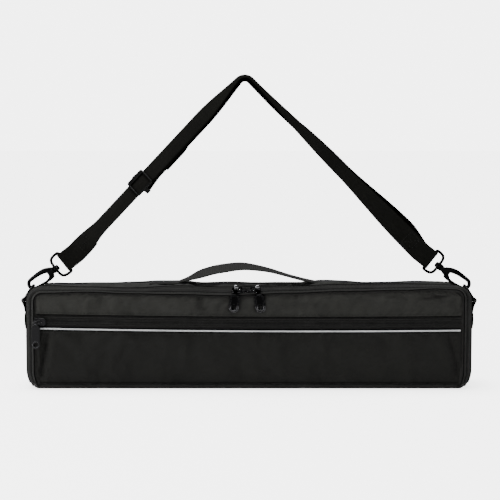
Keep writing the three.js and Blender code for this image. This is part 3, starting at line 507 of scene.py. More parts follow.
# %% [markdown]
# Outlines from the left foot up over the top to the right foot carry everything. The zip holds its corners
# tight, the front panel's are tighter still, and behind the zip they open out where the D-rings lie. All have
# the same counts of points, so that strips can be laid between them. The top is soft: it sags a few
# millimetres towards the back, and less where the handle's ends are sewn to it.

# %% The bag's outlines
FOOT_CORNER = 0.0065
BAND_REAR, BAND_DEPTH = -0.020, 0.013
SIDE_INSET, TOP_INSET = 0.0096, 0.007
WIDE_CORNER, ZIP_CORNER, TIGHT_CORNER = 0.026, 0.016, 0.008
END_POINTS, CORNER_POINTS, TOP_POINTS = 26, 14, 90


def corner_pull(height):
    """How far the ends draw in towards the foot."""
    return 0.0055 * max(1 - height / 0.017, 0.0) ** 1.6


def corner_inset(z, radius, top):
    """How far a rounded top corner narrows the outline at a height, below a top edge."""
    above = max(z - (top - radius), 0)
    return radius - math.sqrt(max(radius ** 2 - above ** 2, 0))


def upper_line(side, top, radius, foot=0.0053):
    ease = HEIGHT - top - radius
    heights = [foot + (ease - foot) * k / END_POINTS for k in range(END_POINTS)]
    left = [(-HALF_LENGTH + side + corner_pull(z), z) for z in heights]
    for k in range(CORNER_POINTS + 1):
        turn = math.pi / 2 * k / CORNER_POINTS
        left.append((-HALF_LENGTH + side + radius - radius * math.cos(turn), ease + radius * math.sin(turn)))
    start = left[-1][0]
    left += [(start * (1 - k / TOP_POINTS), HEIGHT - top) for k in range(1, TOP_POINTS + 1)]
    return left + [(-x, z) for x, z in left[-2::-1]]


SEAM_PLACES = (-0.205, -0.157, -0.117, -0.067, -0.025, 0.043, 0.092, 0.152, 0.182, 0.208)
FRONT_DROPS = (-0.0002, -0.0014, 0.0001, 0.0011, 0.0021, -0.0004, -0.0021, -0.0032, -0.0046, -0.0036)
REAR_DROPS = (0.0, 0.0016, 0.0026, 0.0004, 0.0016, 0.0006, -0.0010, -0.0016, -0.0010, 0.0)


def stepped(stops, place):
    """A value that eases from one stop (place, value) to the next."""
    for (before, low), (after, high) in zip(stops, stops[1:]):
        if place <= after:
            return low + (high - low) * smooth(place, before, after) if place > before else low
    return stops[-1][1]


def seam_sag(x, share=1.0):
    """How far the band's seams drop below a straight line: share 0 is the rear seam, 1 the front seam."""
    rear, front = (stepped(list(zip(SEAM_PLACES, drops)), x) for drops in (REAR_DROPS, FRONT_DROPS))
    return rear * (1 - share) + front * share


def top_sag(x, y):
    """How far the padded top hangs below its frame: most at the left end, least at the right."""
    along = 0.0027 + 0.0008 * smooth(-x, 0.14, 0.19) - 0.0012 * smooth(x, 0.12, 0.19)
    ripple = 0.0003 * math.sin(x * 71) + 0.0002 * math.sin(x * 133 + 1.0)
    held = 1 - 0.7 * math.exp(-((abs(x - 0.003) - 0.083) / 0.024) ** 4)
    back = smooth(y, BAND_REAR, 0.024)
    return (along * held + ripple) * back + seam_sag(x, 0.0) * (1 - smooth(y, BAND_REAR, BAND_REAR + 0.018))


def band_line(share, lift=0.0):
    """The line at a share of the band's width, 0 at the rear and 1 at the front, lifted off its face."""
    tilt = math.atan2((SIDE_INSET + TOP_INSET) / 2, BAND_DEPTH)
    rise = lift * math.cos(tilt)
    line = upper_line(SIDE_INSET * share - rise, TOP_INSET * share - rise,
                      ZIP_CORNER + (TIGHT_CORNER - ZIP_CORNER) * share + rise)
    y = BAND_REAR - BAND_DEPTH * share - lift * math.sin(tilt)
    return [Vector((x, y, z - seam_sag(x, share) * smooth(z, 0.07, 0.095))) for x, z in line]


print("outline points", len(band_line(0)))

# %% [markdown]
# The gusset is the padded strip that makes the ends and the top. Its two long edges are sewn into seams, so
# the strip is pinned there and swells between them; both edges dip into the seam, which gives the dark sewn
# line. The outer cloth is bent round the outline first, then left to settle, and then gets its padding
# thickness inward.

# %% Gusset
SHELL_BACK = 0.0285


def seam_dip(share, edge, depth):
    """How far a padded strip dips at its two seams; share runs from 0 to 1 across it."""
    near = min(share, 1 - share) / edge
    return depth * math.exp(-near * near * 2.2)


def gusset_rows(columns=20, swell=0.0006):
    rows = []
    for share in shares(columns):
        lift = swell * math.sin(math.pi * share) - seam_dip(share, 0.06, 0.0016)
        start = BAND_REAR + 0.0004
        y = start + (SHELL_BACK - start) * share
        corner = ZIP_CORNER + (WIDE_CORNER - ZIP_CORNER) * smooth(y, BAND_REAR, BAND_REAR + 0.006)
        line = upper_line(-lift, -lift, corner + lift, foot=0.0014)
        rows.append([(x, y, z - top_sag(x, y) * smooth(z, 0.085, 0.1)) for x, z in line])
    return rows


gusset_cover = cloth_piece("gusset_cover", gusset_rows(), Z, 0.0046, shell_cloth, "bag", ["gusset"],
                           {"growth": 0.03, "pressure": 0.6, "frames": 20, "cap": 0.0016},
                           curved=True, even=True)
print("gusset", len(gusset_cover.data.vertices), "points")

# %% [markdown]
# The bottom is the strip that the bag stands on. It is the same padded cloth, flat where it rests, and it
# rises into a rounded edge at both ends. It starts under the front flap, whose lower edge is its hinge.

# %% Bottom
FLAT_SHARE = 0.96


def bottom_rows(columns=14, across=120):
    rows = []
    for share in shares(columns):
        start = FRONT + 0.0012
        y = start + (SHELL_BACK - FRONT - 0.0012) * share
        side = 0.0065 * (1 - smooth(y, FRONT, BAND_REAR + 0.006))
        flat = HALF_LENGTH - side - FOOT_CORNER
        row = []
        for turn in [-1 + 2 * part for part in shares(across)]:
            ease = max(abs(turn) - FLAT_SHARE, 0) / (1 - FLAT_SHARE)
            height = 0.0052 * (1 - math.cos(ease * math.pi / 2))
            reach = HALF_LENGTH - side - corner_pull(height)
            x = math.copysign(min(abs(turn) / FLAT_SHARE, 1) * flat + ease * (reach - flat), turn)
            row.append((x, y, 0.0005 + seam_dip(share, 0.05, 0.0012) + height))
        rows.append(row)
    return rows


bottom_cover = cloth_piece("bottom_cover", bottom_rows(), -Z, 0.0042, shell_cloth, "bag", ["bottom_panel"],
                           even=True)
print("bottom", len(bottom_cover.data.vertices), "points")

# %% [markdown]
# The back is one padded panel. Its rows follow the bag's outline, narrowing through the wide top corners, and
# it crowns a few millimetres between its seams.

# %% Back panel
def back_rows(columns=100, levels=30, rim=0.0295, crown=0.0331):
    rows = []
    for share in shares(levels):
        eased = 0.5 - 0.5 * math.cos(math.pi * share)
        z = 0.0006 + (HEIGHT - 0.0012) * (0.35 * share + 0.65 * eased)
        half = HALF_LENGTH - corner_inset(z, WIDE_CORNER, HEIGHT) - corner_pull(z) - 0.0004
        row = []
        for side in [-1 + 2 * part for part in shares(columns)]:
            x = math.copysign(1 - (1 - abs(side)) ** 1.25, side) * half
            inner = min((HALF_LENGTH - abs(x)) / 0.012, z / 0.011, (HEIGHT - z) / 0.011, 1.0)
            full = max(0.0, 1 - (1 - inner) ** 2)
            row.append((x, rim + (crown - rim) * full ** 0.6, z - top_sag(x, BACK) * smooth(z, 0.07, 0.1)))
        rows.append(row)
    return rows


back_cover = cloth_piece("back_cover", back_rows(), Y, 0.0040, shell_cloth, "bag", ["back_panel"],
                         {"growth": 0.02, "pressure": 0.5, "frames": 20, "cap": 0.0018})
print("back", len(back_cover.data.vertices), "points")

# %% [markdown]
# Cords, wires and castings all start as curves: a route gets a round section, or an outline gets a thickness.
# The back's rim meets the gusset in a bound seam, a thin roll of tape all round, which is the first of these
# cords.

# %% Cords and the back's binding
def from_curve(name, routes, place=Matrix.Identity(4), kind="POLY", closed=False, sizes=None, **settings):
    """A curve through each route, made a mesh and moved to its place; sizes scale its thickness."""
    curve = bpy.data.curves.new(name, "CURVE")
    for label, value in settings.items():
        setattr(curve, label, value)
    for route in routes:
        spline = curve.splines.new(kind)
        spline.points.add(len(route) - 1)
        for k, (point, target) in enumerate(zip(spline.points, route)):
            point.co = (*target, 1)
            point.radius = sizes[k] if sizes else 1.0
        spline.order_u = 4
        spline.use_cyclic_u = closed
        spline.use_endpoint_u = not closed
    pick(link(bpy.data.objects.new(name, curve)))
    bpy.ops.object.convert(target="MESH")
    shape = bpy.context.object
    shape.name = name
    shape.data.transform(place)
    if not shape.data.uv_layers:
        shape.data.uv_layers.new(name="UVMap")
    return shape


def cord(name, points, radius, material, body, replaced, closed=False, sides=3):
    """A round cord along points; its map is the length along it, and the way round it, in metres."""
    piece = from_curve(name, [points], closed=closed, dimensions="3D", bevel_depth=radius,
                       bevel_resolution=sides, use_fill_caps=not closed)
    path = np.array([tuple(point) for point in points], dtype=float)
    steps = lengths(path)
    co = np.zeros(len(piece.data.vertices) * 3)
    piece.data.vertices.foreach_get("co", co)
    co = co.reshape(-1, 3)
    nearest = ((co[:, None, :] - path[None]) ** 2).sum(axis=2).argmin(axis=1)
    layer = piece.data.uv_layers.active
    for loop in piece.data.loops:
        index = loop.vertex_index
        away = co[index] - path[nearest[index]]
        layer.data[loop.index].uv = (steps[nearest[index]], math.atan2(away[2], away[1]) * 0.001)
    return finish_mesh(piece, name, material, body, replaced, angle=80)


BINDING_Y = 0.0292
outline = upper_line(0.0002, 0.0002, WIDE_CORNER)
route = [Vector((x, BINDING_Y, z - top_sag(x, BACK) * smooth(z, 0.085, 0.1))) for x, z in outline]
route += [Vector((x, BINDING_Y, 0.0016))
          for x in np.linspace(outline[-1][0] - 0.006, outline[0][0] + 0.006, 60)]
cord("back_binding", route, 0.0015, tape_cloth, "bag", (), closed=True)
print("shell pieces made")

# %% [markdown]
# The zip band rounds the front edge in two halves. The rear tape is sewn to the gusset and stays with the
# bag; the front tape is sewn to the flap and opens with it. Each tape is a thin woven strip, laid through
# lines of the band, which rise and fall with its two seams.

# %% Band tapes
BAND_WIDTH = math.hypot(BAND_DEPTH, (SIDE_INSET + TOP_INSET) / 2)
BAND_TAPES = {"rear": ("bag", [(0.0003, -0.0026), (0.0009, 0.0002), (0.0022, 0.0007), (0.0036, 0.0004),
                               (0.0046, 0.0001), (0.0057, 0.0), (0.0074, -0.0002)]),
              "front": ("front_flap", [(0.0080, -0.0002), (0.0097, 0.0), (0.0108, 0.0001), (0.0120, 0.0004),
                                       (0.0132, 0.0006), (0.0144, 0.0004), (0.0151, -0.0010),
                                       (0.0155, -0.0034)])}
for end, (body, stops) in BAND_TAPES.items():
    cloth_piece(f"{end}_tape", [band_line(place / BAND_WIDTH, lift) for place, lift in stops], Z, 0.0006,
                tape_cloth, body, [f"{end}_zip_tape"], curved=True)
print("band width", round(BAND_WIDTH * 1000, 1), "mm")

# %% [markdown]
# A nylon coil is one long spring sewn to the tape, and from outside it shows as a row of close small ridges.
# One ridge is a bent bar of a few faces. It is made once and repeated along the route, each copy turned to
# the tape.

# %% Zip coil
COIL_PITCH = 0.00125


def shape_of(piece):
    """The points and faces of an object that is only a pattern, which is then removed."""
    shape = ([tuple(vertex.co) for vertex in piece.data.vertices],
             [tuple(face.vertices) for face in piece.data.polygons])
    bpy.data.objects.remove(piece)
    return shape


def make_ridge(length, thickness, height):
    """One coil ridge: a bar with rounded top, along Y, standing on Z."""
    bpy.ops.mesh.primitive_cylinder_add(vertices=6, radius=thickness / 2, depth=length,
                                        rotation=(math.pi / 2, 0, 0))
    bpy.ops.object.transform_apply(location=False, rotation=True, scale=False)
    for vertex in bpy.context.object.data.vertices:
        end = abs(vertex.co.y) / (length / 2)
        vertex.co.z = vertex.co.z * height / thickness * (1 - 0.35 * end)
    return shape_of(bpy.context.object)


def repeated(shape, route, facing, pitch, lean=0.0):
    """Copies of a shape along a route, each turned to the route and standing out in the facing direction."""
    path = np.array([tuple(point) for point in route], dtype=float)
    steps = lengths(path)
    count = int(steps[-1] / pitch)
    places = (np.arange(count) + 0.5) * steps[-1] / count

    def at(where):
        return np.stack([np.interp(np.clip(where, 0, steps[-1]), steps, path[:, axis]) for axis in range(3)],
                        axis=1)

    points, faces = [], []
    for place, heading in zip(at(places), at(places + pitch) - at(places - pitch)):
        along = Vector(heading).normalized()
        across = Vector(facing(place) if callable(facing) else facing).cross(along).normalized()
        out = along.cross(across).normalized()
        base, leaning = len(points), along + across * lean
        points += [tuple(Vector(place) + leaning * x + across * y + out * z) for x, y, z in shape[0]]
        faces += [tuple(base + index for index in face) for face in shape[1]]
    return points, faces


def repeated_piece(name, points, faces, body, angle):
    mesh = bpy.data.meshes.new(name)
    mesh.from_pydata(points, [], faces)
    mesh.uv_layers.new(name="UVMap")
    finish_mesh(link(bpy.data.objects.new(name, mesh)), name, coil_nylon, body, (), angle)


def band_facing(place):
    """Outward from the band: away from the corner's centre, and forward."""
    x, _, z = place
    away = Vector((math.copysign(max(abs(x) - HALF_LENGTH + ZIP_CORNER, 0), x), 0,
                   max(z - HEIGHT + ZIP_CORNER, 0)))
    if away.length < 1e-6:
        away = Z if z > 0.05 else Vector((math.copysign(1, x), 0, 0))
    return away.normalized() * 0.84 + Vector((0, -0.54, 0))


band_ridge = make_ridge(0.0019, 0.00085, 0.0011)
for name, place, body, lean in (("rear_coil", 0.0065, "bag", 0.15),
                                ("front_coil", 0.0089, "front_flap", -0.15)):
    points, faces = repeated(band_ridge, band_line(place / BAND_WIDTH, 0.0006), band_facing, COIL_PITCH, lean)
    repeated_piece(name, points, faces, body, 60)
    print(name, len(faces) // len(band_ridge[1]), "ridges")

# %% [markdown]
# The front is two cloths over one pad. The upper strip hangs from the top seam to the pocket zip, and the
# pocket cloth runs from the reflective piping down to the bottom seam. Both ends of the pocket pull in
# towards the slider and the zip's end, and this makes the long slanting folds near the corners. These folds
# are put in first.

# %% Front cloth
FRONT_HALF = 0.2098
POCKET_FOLDS = [((-0.204, 0.050), (-0.207, 0.010), 0.0019, 0.0016),
                ((-0.1975, 0.058), (-0.2055, 0.006), 0.004, -0.0042),
                ((-0.190, 0.056), (-0.196, 0.018), 0.006, 0.0007),
                ((0.195, 0.058), (0.207, 0.008), 0.0042, -0.0038),
                ((0.184, 0.054), (0.200, 0.018), 0.006, 0.0009),
                ((-0.120, 0.054), (-0.090, 0.020), 0.016, -0.0006),
                ((0.060, 0.052), (0.110, 0.012), 0.020, 0.0006),
                ((-0.020, 0.050), (-0.060, 0.010), 0.022, 0.0005)]
STRIP_FOLDS = [((-0.196, 0.094), (-0.150, 0.080), 0.0040, 0.0008),
               ((0.118, 0.0935), (0.158, 0.0895), 0.0026, -0.0016),
               ((0.155, 0.0890), (0.207, 0.0950), 0.0024, -0.0020),
               ((0.120, 0.084), (0.180, 0.091), 0.0050, 0.0010),
               ((-0.09, 0.090), (-0.04, 0.078), 0.006, 0.0007),
               ((-0.015, 0.094), (-0.035, 0.078), 0.004, -0.0006),
               ((0.03, 0.092), (0.05, 0.078), 0.005, -0.0006)]


def zip_sag(x):
    """How the pocket zip bows: high at the left end, low in the middle, a little low at the right."""
    s = x / 0.205
    return 0.0017 * s * s - 0.0010 * s - 0.0016


def fold(x, z, start, end, width):
    """Height of a soft ridge that runs from start to end in the XZ plane."""
    (ax, az), (bx, bz) = start, end
    dx, dz = bx - ax, bz - az
    long = math.hypot(dx, dz)
    t = ((x - ax) * dx + (z - az) * dz) / long ** 2
    side = ((x - ax) * -dz + (z - az) * dx) / long
    ends = smooth(t, -0.15, 0.25) * (1 - smooth(t, 0.75, 1.1))
    return ends * math.exp(-(side / width) ** 2)


def front_rows(low, high, columns, levels, folds, crown, turned_in):
    """Cloth across the front between two heights, turned in at its rim towards the pad."""
    rows = []
    for v in shares(levels):
        v = 0.5 - 0.5 * math.cos(math.pi * v) if levels > 12 else v
        row = []
        for side in [-1 + 2 * part for part in shares(columns)]:
            side = math.copysign(1 - (1 - abs(side)) ** 1.2, side)
            z = low(side * FRONT_HALF) + (high(side * FRONT_HALF) - low(side * FRONT_HALF)) * v
            half = FRONT_HALF - corner_inset(z, TIGHT_CORNER, HEIGHT - TOP_INSET) - corner_pull(z)
            x = side * half
            edge = (1 - v) * 3.2 if turned_in == "top" else v * 5
            rim = min(max(min((FRONT_HALF - abs(x)) / 0.006, edge, 1), 0), 1)
            full = 1 - (1 - rim) ** 2
            bulge = crown * math.sin(math.pi * v) ** 0.7 * (1 - side ** 8)
            ridges = sum(size * fold(x, z, start, end, width) for start, end, width, size in folds)
            row.append((x, FRONT + 0.0020 * (1 - full ** 0.7) - bulge * full - ridges * full, z))
        rows.append(row)
    return rows


FRONT_CLOTHS = (("top_strip", lambda x: 0.0740 + zip_sag(x),
                 lambda x: HEIGHT - TOP_INSET - 0.0002 - seam_sag(x), 12, STRIP_FOLDS, 0.0010, "top",
                 painted_light_strip_cloth, "front_top_strip",
                 {"growth": 0.03, "pressure": 0.35, "frames": 18, "cap": 0.0013, "bending": 0.2}),
                ("pocket_cover", lambda x: 0.0052, lambda x: 0.0586 + zip_sag(x), 34, POCKET_FOLDS, 0.0016,
                 "low", pocket_cloth, "pocket_panel",
                 {"growth": 0.025, "pressure": 0.3, "frames": 18, "cap": 0.0016, "bending": 0.3}))
for name, low, high, levels, folds, crown, turned_in, cloth, replaced, settle in FRONT_CLOTHS:
    rows = front_rows(low, high, 150, levels, folds, crown, turned_in)
    cloth_piece(name, rows, -Y, 0.0009, cloth, "front_flap", [replaced], settle)
print("front cloths made")

# %% [markdown]
# Behind the pocket the flap is a firm pad. It shows at the flap's rim and, once the flap is open, from
# inside, where a thin lining covers it. The pad starts as a block that is rounded with a bevel, cut finely,
# and follows the seam.

# %% Flap pad and lining
def soft_block(low, high, round_by, segments):
    """A block between two corners with rounded edges, cut across into strips that can bend."""
    bpy.ops.mesh.primitive_cube_add(size=1, location=(Vector(low) + Vector(high)) / 2)
    block = bpy.context.object
    block.scale = Vector(high) - Vector(low)
    bpy.ops.object.transform_apply(location=True, rotation=True, scale=True)
    apply_modifier(block, "BEVEL", width=round_by, segments=segments, limit_method="ANGLE")
    bpy.ops.object.mode_set(mode="EDIT")
    for axis, count in ((0, 60), (2, 14)):
        for k in range(1, count):
            place, normal = [0, 0, 0], [0, 0, 0]
            place[axis], normal[axis] = low[axis] + (high[axis] - low[axis]) * k / count, 1
            bpy.ops.mesh.select_all(action="SELECT")
            bpy.ops.mesh.bisect(plane_co=place, plane_no=normal)
    bpy.ops.object.mode_set(mode="OBJECT")
    return block


def lining_slack(x, z):
    puff = 0.0009 * math.cos(x * 60) * math.cos((z - 0.05) * 50)
    return (0.0006 + puff) * smooth(0.2080 - abs(x), 0, 0.02) * smooth(min(z - 0.007, 0.0925 - z), 0, 0.012)


flap_pad = soft_block((-0.2095, -0.0281, 0.0054), (0.2095, -0.0241, 0.0944), 0.0018, 3)
flap_lining = soft_block((-0.2080, -0.0238, 0.0069), (0.2080, -0.0230, 0.0925), 0.0004, 2)
for block, top, slack in ((flap_pad, 0.094, lambda x, z: 0), (flap_lining, 0.092, lining_slack)):
    for vertex in block.data.vertices:
        x, y, z = vertex.co
        vertex.co = (x, y + slack(x, z), z - seam_sag(x) * smooth(z, 0.05, top))
finish_mesh(flap_pad, "flap_pad", shell_cloth, "front_flap", ["front_panel"])
finish_mesh(flap_lining, "flap_lining", lining_cloth, "front_flap", ["front_lining"])
print("pad", len(flap_pad.data.vertices), "points, lining", len(flap_lining.data.vertices))

# %% [markdown]
# The pocket zip is a pair of tapes with their coils, and the piping below it is a cord of silver
# tape that throws light back. Both bow with the cloth they are sewn to.

# %% Pocket zip and piping
POCKET_ZIP = {"upper": (0.0685, 0.15, [(0.0675, 0), (0.0690, 0), (0.0698, 0.0004), (0.0707, -0.0002),
                                       (0.0716, 0.0004), (0.0726, -0.0002), (0.0733, 0.0003),
                                       (0.0741, -0.0003), (0.0762, -0.0003)]),
              "lower": (0.0661, -0.15, [(0.0584, -0.0003), (0.0609, -0.0003), (0.0616, 0.0002),
                                        (0.0625, 0.0004), (0.0634, -0.0002), (0.0643, 0.0004),
                                        (0.0652, -0.0001), (0.0660, 0), (0.0671, 0)])}


def zip_route(half, y, height, count):
    """A line across the front that bows with the pocket zip."""
    return [Vector((x, y, height + zip_sag(x))) for x in np.linspace(-half, half, count)]


pocket_ridge = make_ridge(0.0018, 0.00085, 0.0010)
for half, (height, lean, stops) in POCKET_ZIP.items():
    rows = [zip_route(0.2084, -0.0316 - lift, z, 91) for z, lift in stops]
    cloth_piece(f"pocket_tape_{half}", rows, -Y, 0.0007, tape_cloth, "front_flap",
                [f"pocket_zip_tape_{half}"])
    points, faces = repeated(pocket_ridge, zip_route(0.2075, -0.0320, height, 200), -Y, COIL_PITCH, lean)
    repeated_piece(f"pocket_coil_{half}", points, faces, "front_flap", 60)
cord("piping_cord", zip_route(0.2070, -0.0331, 0.0598, 140), 0.00082, silver_piping, "front_flap",
     ["reflective_piping"])
print("pocket coil", len(faces) // len(pocket_ridge[1]), "ridges on each side")

# %% [markdown]
# Every seam gets a thin near-black cord along it. The cords are painted shade: they stand for the dark
# lines of shade between the cloths, so they follow the seams exactly.

# %% Painted seam shadows
foot_line = [Vector((x, -0.0331, 0.0072)) for x in np.linspace(-0.2055, 0.2055, 160)]
SEAM_SHADOWS = (("rear_seam_shadow", band_line(0.0003 / BAND_WIDTH, 0.0002), 0.00042, "bag"),
         ("front_seam_shadow", band_line(0.0154 / BAND_WIDTH, 0.0004), 0.00042, "front_flap"),
         ("strip_seam_shadow", zip_route(0.2072, -0.0329, 0.0736, 160), 0.00042, "front_flap"),
         ("pocket_seam_shadow", zip_route(0.2072, -0.0329, 0.0611, 160), 0.00042, "front_flap"),
         ("foot_seam_shadow", foot_line, 0.0002, "front_flap"))
# Each cord is painted shade: a near-black line where the seam lies in shadow.
for name, route, radius, body in SEAM_SHADOWS:
    cord(name, route, radius, painted_seam_shadow, body, (), sides=2)
print("seams", [seam[0] for seam in SEAM_SHADOWS])

# %% [markdown]
# Webbing is a flat woven strap with thick rounded edges. Each length follows a list of stations: a centre,
# the direction across it and the direction its face looks. A lens-shaped section is laid at each station and
# joined to the next, and the map runs along the strap, so that the ribs turn with it wherever it twists. A
# second map marks the underside, where the strap lies in its own shade; the strap's colour is painted darker
# there, as painted shade.

# %% Webbing
UPPER_HALF = [(-1.0, 0.0), (-0.97, 0.72), (-0.86, 1.0), (-0.45, 0.9), (0.0, 0.86), (0.45, 0.9), (0.86, 1.0),
              (0.97, 0.72)]
SECTION = UPPER_HALF + [(-u, -v) for u, v in UPPER_HALF]


def webbing(name, stations, width, thickness, material, body, replaced):
    mesh = bmesh.new()
    layer, side_layer = mesh.loops.layers.uv.new("UVMap"), mesh.loops.layers.uv.new("Side")
    along = [0.0]
    for before, after in zip(stations, stations[1:]):
        along.append(along[-1] + (after[0] - before[0]).length)
    rings = [[mesh.verts.new(at + across * (u * width / 2) + out * (v * thickness / 2)) for u, v in SECTION]
             for at, across, out in stations]
    for k in range(len(rings) - 1):
        for side in range(len(SECTION)):
            after = (side + 1) % len(SECTION)
            spots = ((k, side), (k, after), (k + 1, after), (k + 1, side))
            face = mesh.faces.new([rings[ring][place] for ring, place in spots])
            under = 1.0 if SECTION[side][1] + SECTION[after][1] < 0 else 0.0
            for loop, (ring, place) in zip(face.loops, spots):
                loop[layer].uv = (along[ring], SECTION[place][0] * width / 2)
                loop[side_layer].uv = (under, 0.0)
    mesh.faces.new(rings[0][::-1])
    mesh.faces.new(rings[-1])
    bmesh.ops.recalc_face_normals(mesh, faces=mesh.faces)
    data = bpy.data.meshes.new(name)
    mesh.to_mesh(data)
    mesh.free()
    return finish_mesh(link(bpy.data.objects.new(name, data)), name, material, body, replaced,
                       angle=70)


def stations_through(points, across_at):
    """Stations along points, each facing away from the chord by its own direction across."""
    found = []
    for k, point in enumerate(points):
        heading = (points[min(k + 1, len(points) - 1)] - points[max(k - 1, 0)]).normalized()
        side = across_at(point)
        side = (side - heading * side.dot(heading)).normalized()
        found.append((point, side, heading.cross(side).normalized() * -1))
    return found


print("webbing section of", len(SECTION), "points")

# %% [markdown]
# A seam is a row of short thread dashes. One dash is a small sphere stretched along the seam, and it is
# repeated along a route with a direction that it stands out in. Seams are gathered, one object for each body
# that they ride on.

# %% Stitches
PITCH, THREAD, DASH_SHARE = 0.0028, 0.00022, 0.78
bpy.ops.mesh.primitive_uv_sphere_add(segments=6, ring_count=4, radius=1)
DASH = shape_of(bpy.context.object)
stitches = {}


def sew(body, route, facing, pitch=PITCH, thread=THREAD):
    """Adds a row of dashes for a body along a route of points."""
    stretched = [(x * pitch * DASH_SHARE / 2, y * thread, z * thread * 0.8) for x, y, z in DASH[0]]
    points, faces = repeated((stretched, DASH[1]), route, facing, pitch)
    all_points, all_faces = stitches.setdefault(body, ([], []))
    base = len(all_points)
    all_points += points
    all_faces += [tuple(base + index for index in face) for face in faces]


def sew_box(body, centre, along, across, out, length, width):
    """A sewn box with a cross in it, which is how webbing is fixed."""
    ends = ((-1, -1), (1, -1), (1, 1), (-1, 1))
    corner = [centre + along * (a * length / 2) + across * (b * width / 2) for a, b in ends]
    for first, second in ((0, 1), (1, 2), (2, 3), (3, 0), (0, 2), (1, 3)):
        sew(body, [corner[first], corner[second]], out)


print("one dash has", len(DASH[0]), "points")

# %% [markdown]
# The carry handle is one strap sewn down at both ends, and it lifts into a low arch that leans to the left.
# Its left half rolls its broad face towards the viewer. The middle rides on the handle's own body, and the
# two rising parts bend between the bag and the handle when it swings.

# %% Carry handle
HANDLE_TOP = [(-0.0669, 0.1053), (-0.0499, 0.1123), (-0.0345, 0.1169), (-0.0146, 0.1199), (-0.0065, 0.1206),
              (0.0063, 0.1191), (0.0216, 0.1162), (0.0369, 0.1116), (0.0522, 0.1074), (0.0629, 0.1050),
              (0.0705, 0.1037)]
HANDLE_SIZE = (0.025, 0.0016)
SEWN_LEVEL, SEWN_END, GRIP_END = 0.1030, 0.0985, 0.038
RISES = {"left": (-0.0655, -0.060, -0.042), "right": (0.0700, 0.056, 0.042)}


def handle_point(x):
    spread = np.linspace(-0.006, 0.006, 9)
    return Vector((x, 0, float(np.mean(np.interp(x + spread, *zip(*HANDLE_TOP)))) - 0.0012))


def handle_across(point):
    roll = math.radians(15 * (1 - smooth(point.x, -0.03, 0.045)) * smooth(point.x, -0.068, -0.045))
    return Vector((0, math.cos(roll), math.sin(roll)))


def handle_stretch(name, start, end, steps, body, replaced):
    points = [handle_point(start + (end - start) * part) for part in shares(steps)]
    return webbing(name, stations_through(points, handle_across), *HANDLE_SIZE, handle_cloth, body,
                   [replaced])


handle_stretch("handle_middle", -GRIP_END, GRIP_END, 34, "handle", "handle_grip")
for side, sign in SIDES:
    foot, joint_start, joint_end = RISES[side]
    start, end = (foot, -GRIP_END) if sign < 0 else (GRIP_END, foot)
    rise = handle_stretch(f"handle_rise_{side}_cloth", start, end, 14, None, f"handle_rise_{side}")
    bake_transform(rise)
for side, sign in SIDES:
    foot = RISES[side][0]
    lift = handle_point(foot).z - SEWN_LEVEL
    points = []
    for x in np.linspace(foot, sign * SEWN_END, 16):
        off = abs(x - foot)
        sag = top_sag(x, 0) * smooth(off, 0, 0.010)
        points.append(Vector((x, 0, SEWN_LEVEL - sag + lift * (1 - smooth(off, 0, 0.006)))))
    webbing(f"handle_anchor_{side}", stations_through(points, lambda point: Y), *HANDLE_SIZE, handle_cloth,
            "bag", [f"handle_end_{side}"])
    middle = (foot + sign * SEWN_END) / 2 + sign * 0.003
    sew_box("bag", Vector((middle, 0, 0.1039 - top_sag(middle, 0))), X, Y, Z, 0.022, 0.019)
print("handle from", -SEWN_END, "to", SEWN_END)

# %% [markdown]
# A short webbing tab is folded round each D-ring's bar and sewn flat to the bag's end, high up. It comes down
# as two layers, which end at the same height.

# %% Ring tabs
RING_BAR = (0.22365, 0, 0.0855)
TAB_TURN, TAB_INNER, TAB_OUTER, TAB_FOOT = 0.0025, 0.2210, 0.2227, 0.0582


def tab_stations(sign):
    points = [Vector((TAB_INNER, 0, z)) for z in np.linspace(TAB_FOOT, 0.0800, 12)]
    for turn in [math.pi * (1 - part) for part in shares(14)]:
        points.append(Vector(RING_BAR) + Vector((math.cos(turn), 0, math.sin(turn))) * TAB_TURN)
    points += [Vector((TAB_OUTER + 0.0010, 0, 0.0805)), Vector((TAB_OUTER + 0.0003, 0, 0.0770))]
    points += [Vector((TAB_OUTER + 0.0004 * math.sin(z * 400), 0, z))
               for z in np.linspace(0.0740, TAB_FOOT, 9)]
    return [(Vector((at.x * sign, at.y, at.z)), across, Vector((out.x * sign, out.y, out.z)))
            for at, across, out in stations_through(points, lambda point: Y)]


for side, sign in SIDES:
    webbing(f"tab_{side}", tab_stations(sign), 0.020, 0.0013, strap_cloth, "bag", [f"ring_tab_{side}"])
    sew_box("bag", Vector((sign * 0.2236, 0, 0.0665)), Z, Y, X * sign, 0.012, 0.015)
print("tabs", round((TAB_OUTER - TAB_INNER) * 1000, 1), "mm from layer to layer")

# %% [markdown]
# The shoulder strap leaves each hook along the hook's own line, turns up, and meets in a narrow bend at the
# top. It shows its face low down and turns almost edge-on at the peak. Its route is one line through the
# middle of its layers, and every place on it is known by its length from the left end.

# %% Strap route
HOOK_TILT = 38.1
HOOK_TURN = math.radians(HOOK_TILT)
KNOB = Vector((0.1911, 0, 0.1181))
KNOB_TO_STRAP = 0.0093
LEAD, KNEE = 0.014, Vector((-0.146, 0, 0.160))
PEAK, PEAK_RADIUS = Vector((-0.0043, 0, 0.3108)), 0.009
SLIDE = 0.109
RIGHT_SHORT = 0.0039


